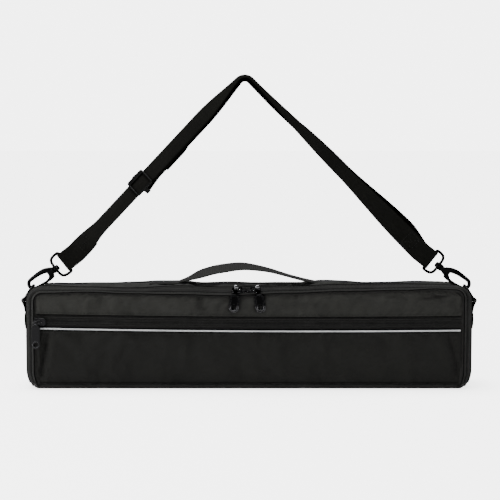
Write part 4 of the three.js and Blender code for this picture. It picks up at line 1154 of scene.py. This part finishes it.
def make_route():
    inward = Vector((-math.cos(HOOK_TURN), 0, math.sin(HOOK_TURN)))
    right_end = KNOB + inward * KNOB_TO_STRAP
    left = Vector((-right_end.x, 0, right_end.z))
    left_lead = left + Vector((-inward.x, 0, inward.z)) * LEAD
    right = right_end + inward * RIGHT_SHORT
    right_lead = right + inward * LEAD
    back, ahead = (KNEE - PEAK).normalized(), (right_lead - PEAK).normalized()
    half = back.angle(ahead) / 2
    centre = PEAK + (back + ahead).normalized() * (PEAK_RADIUS / math.sin(half))
    starts = [PEAK + way * (PEAK_RADIUS / math.tan(half)) - centre for way in (back, ahead)]
    turns = np.linspace(*(math.atan2(start.z, start.x) for start in starts), 25)
    bend = [centre + Vector((math.cos(turn), 0, math.sin(turn))) * PEAK_RADIUS for turn in turns]
    return [left, left_lead, KNEE] + bend + [right_lead, right]


ROUTE = make_route()
ROUTE_PLACES = np.concatenate([[0], np.cumsum([(b - a).length for a, b in zip(ROUTE, ROUTE[1:])])])
ROUTE_LENGTH = float(ROUTE_PLACES[-1])
KNEE_AT = float(ROUTE_PLACES[2])
PEAK_AT = KNEE_AT + (PEAK - KNEE).length
TWIST = [(0, 0), (LEAD, 0), (KNEE_AT, 46), (SLIDE + 0.0873, 46), (PEAK_AT, 80),
         ((PEAK_AT + ROUTE_LENGTH) / 2, 50), (ROUTE_LENGTH - LEAD, 0), (ROUTE_LENGTH, 0)]


def route_at(place):
    inside = min(max(place, 0), ROUTE_LENGTH)
    x, z = (float(np.interp(inside, ROUTE_PLACES, [point[axis] for point in ROUTE])) for axis in (0, 2))
    k = min(max(int(np.searchsorted(ROUTE_PLACES, inside, side="right")) - 1, 0), len(ROUTE) - 2)
    heading = (ROUTE[k + 1] - ROUTE[k]).normalized()
    return Vector((x, 0, z)) + heading * (place - inside), heading


def strap_frame(place):
    """Centre, direction along, across and out of the strap at a length along its route."""
    at, heading = route_at(place)
    heading = (route_at(place - 0.003)[1] + heading + route_at(place + 0.003)[1]).normalized()
    turn = math.radians(stepped(TWIST, place))
    upward = Vector((-heading.z, 0, heading.x))
    across = upward * math.cos(turn) + Y * math.sin(turn)
    return at, heading, across, upward * math.sin(turn) - Y * math.cos(turn)


print("strap", round(ROUTE_LENGTH * 1000), "mm along its route")

# %% [markdown]
# From the adjuster on, two layers lie on each other: the lower one comes back from the right hook to the
# adjuster and has slipped upward a little beside the front one. The whole length is one webbing, as on the
# real bag, and a second short one makes the loop that turns round the adjuster's bar.

# %% Shoulder strap
LAYER, LAYER_GAP, STRAP_WIDTH = 0.0014, 0.0003, 0.0202
LOOP_RADIUS = 0.0012 + 0.0003 + LAYER / 2
SETTLE = 4 * LOOP_RADIUS
OUTER = (LAYER + LAYER_GAP) / 2
LEG, RETURN, LAP = (OUTER - k * (LAYER + LAYER_GAP) for k in (1, 2, 3))
LAP_TOP = SLIDE + 0.040 + 0.012 + 0.0003
PEAK_END = PEAK_AT + PEAK_RADIUS
GLIDE_BAR = LEG - LAYER / 2 - 0.0003 - 0.0012
SLIP = 0.0046


def strap_station(place, level, facing=1, aside=0.0):
    at, _, across, out = strap_frame(place)
    return at + out * level + across * aside, across, out * facing


def loop_stations(place, level, direction, start, end):
    """Half a turn of webbing round a bar at a place on the route."""
    at, heading, across, out = strap_frame(place)
    found = []
    for turn in [math.radians(start + (end - start) * part) for part in shares(12)]:
        radial = out * math.sin(turn) + heading * (direction * math.cos(turn))
        found.append((at + out * level + radial * LOOP_RADIUS, across, radial))
    return found


def back_level(place):
    return stepped([(LAP_TOP, LAP), (LAP_TOP + SETTLE, RETURN), (PEAK_END, RETURN), (PEAK_END + 0.080, LEG),
                    (ROUTE_LENGTH, LEG)], place)


def back_aside(place):
    return stepped([(PEAK_END + 0.020, 0.0), (PEAK_END + 0.070, SLIP), (ROUTE_LENGTH - 0.040, SLIP),
                    (ROUTE_LENGTH - 0.008, 0.0)], place)


def run_stations(start, end, step, facing, level_at, aside_at=lambda place: 0.0):
    """Stations from one place to another; the level is a number or changes along the way."""
    found = []
    for place in np.linspace(start, end, max(round(abs(end - start) / step), 1) + 1):
        level = level_at(place) if callable(level_at) else level_at
        found.append(strap_station(place, level, facing, aside_at(place)))
    return found


stations = run_stations(0.036, SETTLE, 0.005, -1, LEG)
stations += loop_stations(0, 0, -1, -90, 90)
stations += run_stations(SETTLE, PEAK_AT - 0.018, 0.005, 1, OUTER)
stations += run_stations(PEAK_AT - 0.0176, PEAK_END, 0.0013, 1, OUTER)
stations += run_stations(PEAK_END + 0.0004, ROUTE_LENGTH - SETTLE, 0.005, 1, OUTER)
stations += loop_stations(ROUTE_LENGTH, 0, 1, 90, -90)
stations += run_stations(ROUTE_LENGTH - SETTLE, PEAK_END, 0.005, -1, back_level, back_aside)
stations += run_stations(PEAK_END - 0.0004, PEAK_AT - 0.018, 0.0013, -1, back_level)
stations += run_stations(PEAK_AT - 0.0184, LAP_TOP - 0.024, 0.004, -1, back_level)
webbing("shoulder_webbing", stations, STRAP_WIDTH, LAYER, strap_cloth, "strap", ["strap_webbing"])
under_bar = GLIDE_BAR - LOOP_RADIUS
loop = [strap_station(SLIDE + ahead, level, -1)
        for ahead, level in ((0.040, RETURN), (0.030, RETURN), (8 * LOOP_RADIUS, RETURN),
                             (4 * LOOP_RADIUS, (RETURN + under_bar) / 2), (LOOP_RADIUS, under_bar))]
loop += loop_stations(SLIDE, GLIDE_BAR, -1, -90, 90)
loop += [strap_station(SLIDE + 0.02 + 0.01 * k, LEG) for k in range(7)]
webbing("slide_webbing", loop, STRAP_WIDTH, LAYER, strap_cloth, "adjuster", ["slider_loop"])
for place in (0.027, ROUTE_LENGTH - 0.027):
    at, heading, across, out = strap_frame(place)
    sew_box("strap", at + out * (OUTER + LAYER / 2 + 0.0001), heading, across, out, 0.012, 0.015)
print("strap laid through", len(stations), "stations, its loop through", len(loop))

# %% [markdown]
# The metal is cast zinc under black lacquer. It is nearly black, and it lives from its highlights: a smooth
# dark base, edges painted a little paler, partly as wear and partly as painted highlight, and a slight
# unevenness from the casting. The main sliders are a copy with much paler edges, for painted highlights, and
# on the main pulls the paler edges keep to the lower end, with a painted highlight at the top of the neck. The
# pocket's slider and pull have a matt paint instead, and the strap's adjuster is moulded plastic with a fine
# grain; their edges are painted paler in the same way.

# %% Metal and plastic
def make_edge_wear_and_highlight():
    group, given, out = new_group("edge_wear_and_highlight", {"Place": None, "Radius": 0.0005}, ["Worn"])
    # Edges are painted paler: partly wear, partly painted highlight.
    soft = node(group, "Bevel", {"samples": 4}, Radius=given["Radius"])
    turn = node(group, "VectorMath", {"operation": "DOT_PRODUCT"})
    feed(group, turn.inputs[0], soft.outputs["Normal"])
    feed(group, turn.inputs[1], node(group, "NewGeometry").outputs["Normal"])
    edge = math_node(group, "MULTIPLY", math_node(group, "SUBTRACT", 1.0, turn.outputs["Value"]), 6.0)
    grit = node(group, "TexNoise", Vector=given["Place"], Scale=600).outputs["Fac"]
    feed(group, out["Worn"], math_node(group, "MINIMUM", math_node(group, "MULTIPLY", edge, grit), 1.0))
    return group


edge_wear_and_highlight = make_edge_wear_and_highlight()
NECK_HIGHLIGHT_FROM, NECK_HIGHLIGHT_TO = 0.013, 0.017


def paler_by_height(tree, place, mixed, low, high):
    """Paler edges below the first height (wear and painted highlight); a painted highlight at the neck's top.
    """
    level = axes(tree, place)["Z"]
    edge_paleness = node(tree, "MapRange", {"interpolation_type": "SMOOTHSTEP"}, Value=level, From_Min=low,
                From_Max=high, To_Min=1.0, To_Max=0.36)
    # Painted highlight: the top of the neck and the knuckle are painted paler.
    neck = node(tree, "MapRange", Value=level, From_Min=high + NECK_HIGHLIGHT_FROM, From_Max=high + NECK_HIGHLIGHT_TO,
                To_Max=0.55)
    mixed = math_node(tree, "MULTIPLY", mixed, edge_paleness.outputs["Result"])
    return math_node(tree, "ADD", mixed, neck.outputs["Result"])


def metal_material(name, dark, light, roughness, pale_from, cast=0.15, pale_heights=None):
    material, tree, place, rub = start_material(name, 90.0, roughness, metallic=1.0, specular=0.3)
    wear_and_highlight = placed(tree, edge_wear_and_highlight, Place=place, Radius=0.0004)["Worn"]
    mixed = math_node(tree, "MULTIPLY_ADD", rub, 0.35, wear_and_highlight)
    if pale_heights:
        mixed = paler_by_height(tree, place, mixed, *pale_heights)
    return finish_material(material, ramp(tree, mixed, dark, light, (pale_from, 1.0)), rub,
                           (0.16, roughness - 0.06), bump(tree, rub, cast, 0.0004))


def plastic_material(name):
    material, tree, place, rub = start_material(name, 50.0, 0.45, specular=0.09)
    grain = node(tree, "TexVoronoi", Vector=place, Scale=1600).outputs["Distance"]
    wear_and_highlight = placed(tree, edge_wear_and_highlight, Place=place, Radius=0.0005)["Worn"]
    mixed = math_node(tree, "MULTIPLY_ADD", rub, 0.5, wear_and_highlight)
    return finish_material(material,
                           ramp(tree, mixed, (0.0010, 0.0010, 0.0010), (0.012, 0.012, 0.012), (0.45, 1.0)),
                           rub, (0.2, 0.36), bump(tree, grain, 0.35, 0.0001))


LACQUER = (0.0030, 0.0030, 0.0032)
black_lacquer = metal_material("black_lacquer", LACQUER, (0.13, 0.13, 0.135), 0.12, 0.35)
# The main sliders are a copy with much paler edges: painted highlights.
slider_lacquer = metal_material("slider_lacquer", LACQUER, (0.80, 0.80, 0.81), 0.14, 0.50)
pull_lacquer = metal_material("pull_lacquer", (0.0020, 0.0020, 0.0021), (0.24, 0.24, 0.25), 0.12, 0.25,
                              pale_heights=(0.0815, 0.0840))
matt_paint = metal_material("matt_paint", (0.013, 0.013, 0.0135), (0.26, 0.26, 0.27), 0.40, 0.30, cast=0.3)
moulded_plastic = plastic_material("moulded_plastic")
print("hard finishes", black_lacquer.name, matt_paint.name, moulded_plastic.name)

# %% [markdown]
# Hooks, rings and pulls are made of three kinds of shape: bent rods, flat plates with eased edges and turned
# bars. A rod follows a smooth curve whose thickness can change along it. A plate is a flat outline with
# holes, given a thickness and a small bevel. A bar is spun as on a lathe. Each is then moved to its place by
# one matrix.

# %% Rods and plates
def rod(name, points, radius, place, closed=False, sizes=None, steps=5, sides=4):
    """A bent rod through points; sizes gives its thickness at each as a share of the radius."""
    return from_curve(name, [points], place, "NURBS", closed, sizes, dimensions="3D", bevel_depth=radius,
                      bevel_resolution=sides, resolution_u=steps, use_fill_caps=True)


def plate(name, outlines, thickness, ease, place, rounds):
    """A flat plate in XY with its middle at Z 0; the first outline is its edge and the others are holes."""
    flat = [[(x, y, 0) for x, y in outline] for outline in outlines]
    return from_curve(name, flat, place, closed=True, dimensions="2D", fill_mode="BOTH",
                      extrude=thickness / 2 - ease, bevel_depth=ease, bevel_resolution=rounds, offset=-ease)


def arc(cx, cy, radius, start, end, steps):
    turns = [math.radians(start + (end - start) * part) for part in shares(steps)]
    return [(cx + radius * math.cos(t), cy + radius * math.sin(t)) for t in turns]


def even_profile(half):
    """A turned bar's profile whose two ends are alike."""
    return half + [(-along, radius) for along, radius in half[::-1]]


def turned_bar(profile, place, sides=20):
    """A turned piece about X from a list of (along, radius), spun as on a lathe."""
    bpy.ops.mesh.primitive_circle_add(vertices=sides, radius=profile[0][1], fill_type="NGON")
    piece = bpy.context.object
    bpy.ops.object.mode_set(mode="EDIT")
    bpy.ops.mesh.select_all(action="SELECT")
    for (a0, r0), (a1, r1) in zip(profile, profile[1:]):
        bpy.ops.mesh.extrude_region_move(TRANSFORM_OT_translate={"value": (0, 0, a1 - a0)})
        bpy.ops.transform.resize(value=(r1 / r0, r1 / r0, 1), center_override=(0, 0, 0))
    edit_all(lambda: bpy.ops.mesh.normals_make_consistent(inside=False))
    piece.data.transform(place @ turned(90, "Y") @ moved(0, 0, profile[0][0]))
    return piece


def as_one(pieces):
    pick(pieces[0])
    for piece in pieces[1:]:
        piece.select_set(True)
    if len(pieces) > 1:
        bpy.ops.object.join()
    return pieces[0]


def hard_piece(name, pieces, material, body, replaced):
    return finish_mesh(as_one(pieces), name, material, body, [replaced], angle=50)


def end_turn(sign):
    """Nothing for the right end, and half a turn for the left one."""
    return Matrix.Identity(4) if sign > 0 else turned(180, "Z")


print("ready to bend rods and cut plates")

# %% [markdown]
# The D-ring is bent from one wire: a straight bar inside the tab and a round bow that leans over the bag's
# corner.

# %% D-rings
RING_LEAN = -30
ring_line = arc(-0.0101, 0.0017, 0.0017, 180, 270, 4) + [(-0.004, 0), (0.004, 0)]
ring_line += arc(0.0101, 0.0017, 0.0017, 270, 360, 4) + arc(0, 0.0047, 0.0118, 0, 180, 22)
for side, sign in SIDES:
    place = end_turn(sign) @ moved(*RING_BAR) @ turned(RING_LEAN, "Y")
    ring = from_curve("ring", [[(0, p, q) for p, q in ring_line]], place, closed=True, dimensions="3D",
                      bevel_depth=0.0015, bevel_resolution=4)
    finish_mesh(ring, f"ring_{side}", black_lacquer, f"ring_{side}", [f"d_ring_{side}"],
                angle=60)
print("rings lean", RING_LEAN, "degrees")

# %% [markdown]
# The snap hook hangs from a swivel: a collar on the strap's ring holds the hook's shank by its head. The
# hook's body is a flat casting that runs out into a round bow, and a gate on a pin closes its mouth. The
# gate's thumb piece stands out at the side, and its tip rests behind the bow's nose.

# %% Snap hooks
BOW = [(0.0050, 0.0016), (0.0070, 0.0024), (0.0100, 0.0042), (0.0140, 0.0058), (0.0185, 0.0066),
       (0.0235, 0.0068)]
BOW += arc(0.0292, 0.0019, 0.0050, 84, -96, 12) + [(0.0278, -0.0030)]
BOW_SIZES = [1.3, 1.5, 1.6, 1.55, 1.4, 1.25] + [1.1] * 11 + [1.0, 1.0, 0.95]
BODY_END = 0.0138
BODY = [(0, -0.0034), (0, 0.0034), (0.0016, 0.0033), (0.0032, 0.0027), (0.0046, 0.0030), (0.0056, 0.0036),
        (0.0080, 0.0054), (0.0112, 0.0074), (BODY_END, 0.0068), (0.0124, 0.0040), (0.0112, 0.0018),
        (0.0112, -0.0006), (0.0122, -0.0030), (0.0108, -0.0038), (0.0080, -0.0038), (0.0056, -0.0036),
        (0.0046, -0.0030), (0.0032, -0.0027), (0.0016, -0.0033)]
PIN_PLACE = (0.0082, -0.0009)
GATE = arc(*PIN_PLACE, 0.0020, 60, 200, 8)
GATE += [(0.0072, -0.0036), (0.0082, -0.0054), (0.0100, -0.0060), (0.0135, -0.0062), (0.0185, -0.0060),
         (0.0235, -0.0052), (0.0270, -0.0043), (0.0281, -0.0036), (0.0281, -0.0022), (0.0270, -0.0018),
         (0.0225, -0.0027), (0.0180, -0.0033), (0.0145, -0.0031), (0.0118, -0.0010)]
SHANK = [(-0.0054, 0.0018), (-0.0050, 0.0026), (-0.0044, 0.0029), (-0.0036, 0.0028), (-0.0034, 0.0017),
         (0.0008, 0.0017)]
PIN = even_profile([(-0.0029, 0.0007), (-0.0027, 0.0012), (-0.0024, 0.0013)])
COLLAR = [(-0.0031, 0.0026), (-0.0031, 0.0036), (-0.0026, 0.0041), (-0.0008, 0.0041), (-0.0003, 0.0036),
          (-0.0003, 0.0026)]
SHANK_ENDS = {-1: 0.0042, 1: -0.0006}
RING_FAR = {-1: -0.0096, 1: -0.0096 - RIGHT_SHORT}


def swivel_line(head, far):
    """Half of the strap's ring, from the collar out and up to the bar that holds the strap."""
    half = [(head, 0.0030), (head, 0.0060), (head - 0.0006, 0.0088), (head * 0.77 + far * 0.23, 0.0108),
            ((head + far) / 2, 0.0115), (far + 0.0016, 0.0116), (far + 0.0002, 0.0110), (far, 0.0080)]
    return [(u, 0, -w) for u, w in half] + [(far, 0, 0.0)] + [(u, 0, w) for u, w in half[::-1]]


for side, sign in SIDES:
    place = end_turn(sign) @ moved(*KNOB) @ turned(HOOK_TILT, "Y")
    flat = place @ turned(90, "X")
    shank_end, far = SHANK_ENDS[sign], RING_FAR[sign]
    near = place @ moved(shank_end, 0, 0)
    body = [(shank_end + u * (1 - shank_end / BODY_END), v) for u, v in BODY[::-1]]
    pieces = [plate("body", [body], 0.0052, 0.0011, flat, 3),
              rod("bow", [(u, 0, v) for u, v in BOW], 0.0017, place, sizes=BOW_SIZES),
              turned_bar(SHANK, near)]
    hard_piece(f"hook_{side}_body", pieces, black_lacquer, f"hook_{side}", f"snap_hook_{side}")
    pin_place = place @ moved(PIN_PLACE[0], 0, PIN_PLACE[1]) @ turned(90, "Z")
    hard_piece(f"hook_{side}_pin", [turned_bar(PIN, pin_place, 16)], black_lacquer, f"hook_{side}",
               f"gate_pin_{side}")
    hard_piece(f"hook_{side}_gate", [plate("gate", [GATE], 0.0024, 0.0005, flat, 2)], black_lacquer,
               f"gate_{side}", f"hook_gate_{side}")
    line = swivel_line(shank_end - 0.0018, far)
    sizes = [0.83 if u < far + 0.0006 else 1.0 for u, _, _ in line]
    pieces = [turned_bar(COLLAR, near, 24), rod("ring", line, 0.00145, place, sizes=sizes)]
    hard_piece(f"swivel_{side}", pieces, black_lacquer, "strap", f"swivel_ring_{side}")
print("hooks made")

# %% [markdown]
# A slider is a small casting with a waisted plate, lips that turn down at its sides, and a staple on top that
# the pull hangs from. The main sliders are longer than the pocket's, and their staples stand a little higher.

# %% Sliders
TOP_HALF = [(-0.0057, -0.0018), (-0.0054, -0.0034), (-0.0042, -0.0043), (-0.0028, -0.0043), (0.0, -0.0036),
            (0.0028, -0.0033), (0.0048, -0.0030), (0.0057, -0.0018)]
LIP = [(-0.0048, 0.0038, 0.0004), (-0.0024, 0.0037, -0.0002), (0.0, 0.0032, -0.0003),
       (0.0026, 0.0029, -0.0002), (0.0048, 0.0026, 0.0004)]


def slider(name, place, offset, material, body, replaced, longer=1.0, rise=0.0):
    outline = [(x * longer, y) for x, y in TOP_HALF + [(x, -y) for x, y in TOP_HALF[::-1]]]
    half = 0.0033 * longer
    low = [(offset - half, 0, z) for z in (0.0006, 0.0024, 0.0036 + rise)]
    high = [(offset + half, 0, z) for z in (0.0036 + rise, 0.0024, 0.0006)]
    staple = low + [(offset + x, 0, z + rise)
                    for x, z in ((-0.0016, 0.0037), (0, 0.0036), (0.0016, 0.0037))] + high
    pieces = [plate("top", [outline], 0.0013, 0.0005, place @ moved(0, 0, 0.0007), 3),
              *(rod("lip", [(x * longer, sign * y, z) for x, y, z in LIP], 0.0006, place, steps=4, sides=3)
                for sign in (-1, 1)),
              rod("bridge", staple, 0.0008, place),
              plate("crown", [arc(0, 0, 0.0017, 0, 342, 19)], 0.0010, 0.0004,
                    place @ moved(offset * 0.5 - 0.0004, 0, 0.0014), 2)]
    hard_piece(name, pieces, material, body, replaced)


SLIDER_PLACES = {"left": -0.0098, "right": 0.0046}
for side, sign in SIDES:
    place = (moved(SLIDER_PLACES[side], -0.02766, 0.0976)
             @ Matrix.Rotation(math.atan2(TOP_INSET, BAND_DEPTH), 4, "X"))
    slider(f"zip_slider_{side}", place @ end_turn(-sign), -0.0016, slider_lacquer, f"main_slider_{side}_body",
           f"main_slider_{side}", 1.25, 0.0008)
slider("pocket_zip_slider", moved(-0.2045, -0.0333, 0.0673) @ turned(90, "X"), -0.0024, matt_paint,
       "pocket_slider_body", "pocket_slider")
print("sliders", list(SLIDER_PLACES))

# %% [markdown]
# The main pulls are heavy plates with a raised rim round a sunken middle and a rounded end with a hole. They
# hang over the front edge by a short neck, a little splayed. The pocket's pull is a plainer, matt tab with a
# ring round its hole.

# %% Pulls
KNUCKLE, NECK_HALF, EYE = 0.0022, 0.0022, 0.0027


def pull_outline(length, width, neck):
    half, end = width / 2, neck - length + width / 2
    right = [(half, -0.0034), (half - 0.0002, -0.0022), (NECK_HALF + 0.0012, -0.0005), (NECK_HALF, 0)]
    return [(-x, y) for x, y in right[::-1]] + arc(0, end, half, 180, 360, 20) + right, end


def inset_outline(outline, by):
    points = [Vector(point) for point in outline]
    found = []
    for k, point in enumerate(points):
        heading = (points[(k + 1) % len(points)] - points[k - 1]).normalized()
        found.append(point + Vector((-heading.y, heading.x)) * by)
    return found


def pull(name, place, length, width, thickness, bend, neck, material, body, replaced):
    """Local Z is up, the broad face looks towards -Y, and the knuckle turns about X at the origin."""
    turn, face = math.radians(bend), -thickness / 2
    reach_y, reach_z = -neck * math.sin(turn), -neck * math.cos(turn)
    outline, end = pull_outline(length, width, neck)
    hole = arc(0, end, 0.0020, 0, -345, 23)
    blade_place = place @ moved(0, reach_y, reach_z) @ turned(90, "X")
    pieces = [plate("blade", [outline, hole], thickness, 0.00045, blade_place, 3)]
    if bend:
        rim = [(x, face + reach_y - 0.0001, y + reach_z) for x, y in inset_outline(outline, 0.0011)]
        pieces.append(rod("rim", rim, 0.00055, place, closed=True, steps=3, sides=3))
    eye = [(x, face + reach_y, y + reach_z) for x, y in arc(0, end, EYE, 0, 330, 11)]
    pieces.append(rod("eye", eye, 0.00045, place, closed=True, steps=3, sides=3))
    radius = 0.00075 + 0.0003 + thickness / 2
    pieces.append(turned_bar(even_profile([(-KNUCKLE, 0.0011), (-KNUCKLE, radius - 0.0003),
                                           (-0.0019, radius)]), place))
    arm = [(-0.0006 * math.sin(turn), -0.0006), (reach_y * 0.45, reach_z * 0.45),
           (reach_y * 0.9, reach_z * 0.9), (reach_y, reach_z - 0.0010), (reach_y, reach_z - 0.0030)]
    for shift in (-0.0012, 0, 0.0012):
        pieces.append(rod("arm", [(shift, y, z) for y, z in arm], thickness / 2 * 0.98, place, sides=3))
    hard_piece(name, pieces, material, body, replaced)


for side, hung, splay in (("left", -0.0124, -7.0), ("right", 0.0082, 9.0)):
    pull(f"zip_pull_{side}", moved(hung, -0.0297, 0.1016) @ turned(-splay, "Y"), 0.0268, 0.0100, 0.0017, 37,
         0.0086, pull_lacquer, f"main_pull_{side}_body", f"main_pull_{side}")
pull("pocket_zip_pull", moved(-0.2080, -0.0368, 0.0673) @ turned(0.5, "Y"), 0.0260, 0.0081, 0.0015, 0, 0.0030,
     matt_paint, "pocket_pull_body", "pocket_pull")
print("pulls made")

# %% [markdown]
# The adjuster is a moulded slide: a rounded frame in front of the strap, with cheeks that reach back on both
# sides to the bar which the loop of webbing turns round.

# %% Strap adjuster
FRAME_HALF, FRAME_REACH, FRAME_BAR = 0.0126, 0.0104, 0.0013
HOLE_LEFT, HOLE_RIGHT, CHEEK = -0.0102, 0.0074, 0.0118


def rounded_box(left, right, reach, radius, steps):
    corners = ((right, reach), (left, reach), (left, -reach), (right, -reach))
    outline = []
    for k, (x, y) in enumerate(corners):
        outline += arc(x - math.copysign(radius, x), y - math.copysign(radius, y), radius, 90 * k,
                       90 * k + 90, steps)
    return outline


at, _, across, out = strap_frame(SLIDE)
place = moved(*at) @ Matrix((across, out.cross(across), out)).transposed().to_4x4()
front = OUTER + LAYER / 2 + 0.0002
rim = rounded_box(-FRAME_HALF, FRAME_HALF, FRAME_REACH, 0.0026, 6)
window = rounded_box(HOLE_LEFT, HOLE_RIGHT, FRAME_REACH - FRAME_BAR, 0.0012, 4)
pieces = [plate("frame", [rim, window[::-1]], 0.0014, 0.0004, place @ moved(0, 0, front + 0.0007), 3)]
low, high = GLIDE_BAR - 0.0012, front + 0.0018
cheek = [(-0.0024, low), (0.0024, low), (0.0024, high), (-0.0024, high)]
on_edge = Matrix(((0, 0, 1, 0), (1, 0, 0, 0), (0, 1, 0, 0), (0, 0, 0, 1)))
for sign in (-1, 1):
    pieces.append(plate("cheek", [cheek], 0.0023, 0.0006, place @ moved(sign * CHEEK, 0, 0) @ on_edge, 2))
pieces.append(turned_bar(even_profile([(-CHEEK, 0.0010), (-0.0110, 0.0012)]),
                         place @ moved(0, 0, GLIDE_BAR), 14))
hard_piece("strap_slide", pieces, moulded_plastic, "adjuster", "tri_glide")
print("adjuster made")

# %% [markdown]
# Inside, a thin lining covers the padding on every wall but the front, which the flap closes. Its wall is one
# strip bent once round the inside of the bag, and its back is a flat sheet; both are a little loose, so they
# ripple.

# %% Lining
LINING_INSET, LINING_BACK = 0.0066, 0.0269


def lining_wall(levels=14):
    rows = []
    for share in shares(levels):
        y = -0.0190 + (0.0270 + 0.0190) * share
        inset = LINING_INSET - 0.0004 * math.sin(math.pi * share)
        line = upper_line(inset, inset, WIDE_CORNER - inset, foot=LINING_INSET)
        line += [(line[-1][0] + (line[0][0] - line[-1][0]) * j / 60, LINING_INSET) for j in range(1, 61)]
        row = []
        for x, z in line:
            ripple = 0.0005 * math.sin(x * 140 + y * 90) * math.sin(z * 70 + 1)
            row.append((x * (1 + 0.5 * ripple), y, z + ripple - top_sag(x, y) * smooth(z, 0.08, 0.095)))
        row[-1] = row[0]
        rows.append(row)
    return rows


def lining_back(columns=80, levels=20):
    rows = []
    for z in [LINING_INSET + (HEIGHT - 2 * LINING_INSET) * part for part in shares(levels)]:
        wide = corner_inset(z, WIDE_CORNER - LINING_INSET, HEIGHT - LINING_INSET)
        half = HALF_LENGTH - LINING_INSET - wide + 0.0003
        rows.append([(x, LINING_BACK + 0.0006 * math.sin(x * 55) * math.sin(z * 60),
                      z - top_sag(x, LINING_BACK) * smooth(z, 0.08, 0.095))
                     for x in [half * (-1 + 2 * part) for part in shares(columns)]])
    return rows


sheets = [bent_sheet(lining_wall(), curved=True)]
edit_all(lambda: bpy.ops.mesh.remove_doubles(threshold=0.00001))
sheets.append(bent_sheet(lining_back()))
for sheet in sheets:
    apply_modifier(sheet, "SOLIDIFY", thickness=0.0006, offset=0)
finish_mesh(as_one(sheets), "inner_lining", lining_cloth, "bag", ["bag_lining"])
print("lining made")

# %% [markdown]
# Thread shows where two cloths meet: along both edges of the zip band, and above and below the pocket zip.
# Each row runs a little way in from its seam, and the dashes lie almost flush with the cloth. All the thread
# of one body is one mesh. It is a dark thread, a touch glossier than the cloth it holds.

# %% Topstitching
for place, lift, body in ((0.0030, 0.0011, "bag"), (0.0121, 0.0010, "front_flap")):
    sew(body, band_line(place / BAND_WIDTH, lift), band_facing, 0.0030, 0.00020)
for height, y in ((0.0755, -0.0338), (0.0563, -0.0341)):
    sew("front_flap", zip_route(0.2050, y, height, 120), -Y, 0.0030, 0.00018)
for body, (points, faces) in stitches.items():
    repeated_piece(f"stitches_{body}", points, faces, body, 80)
    print("stitches on", body, len(faces) // len(DASH[1]))
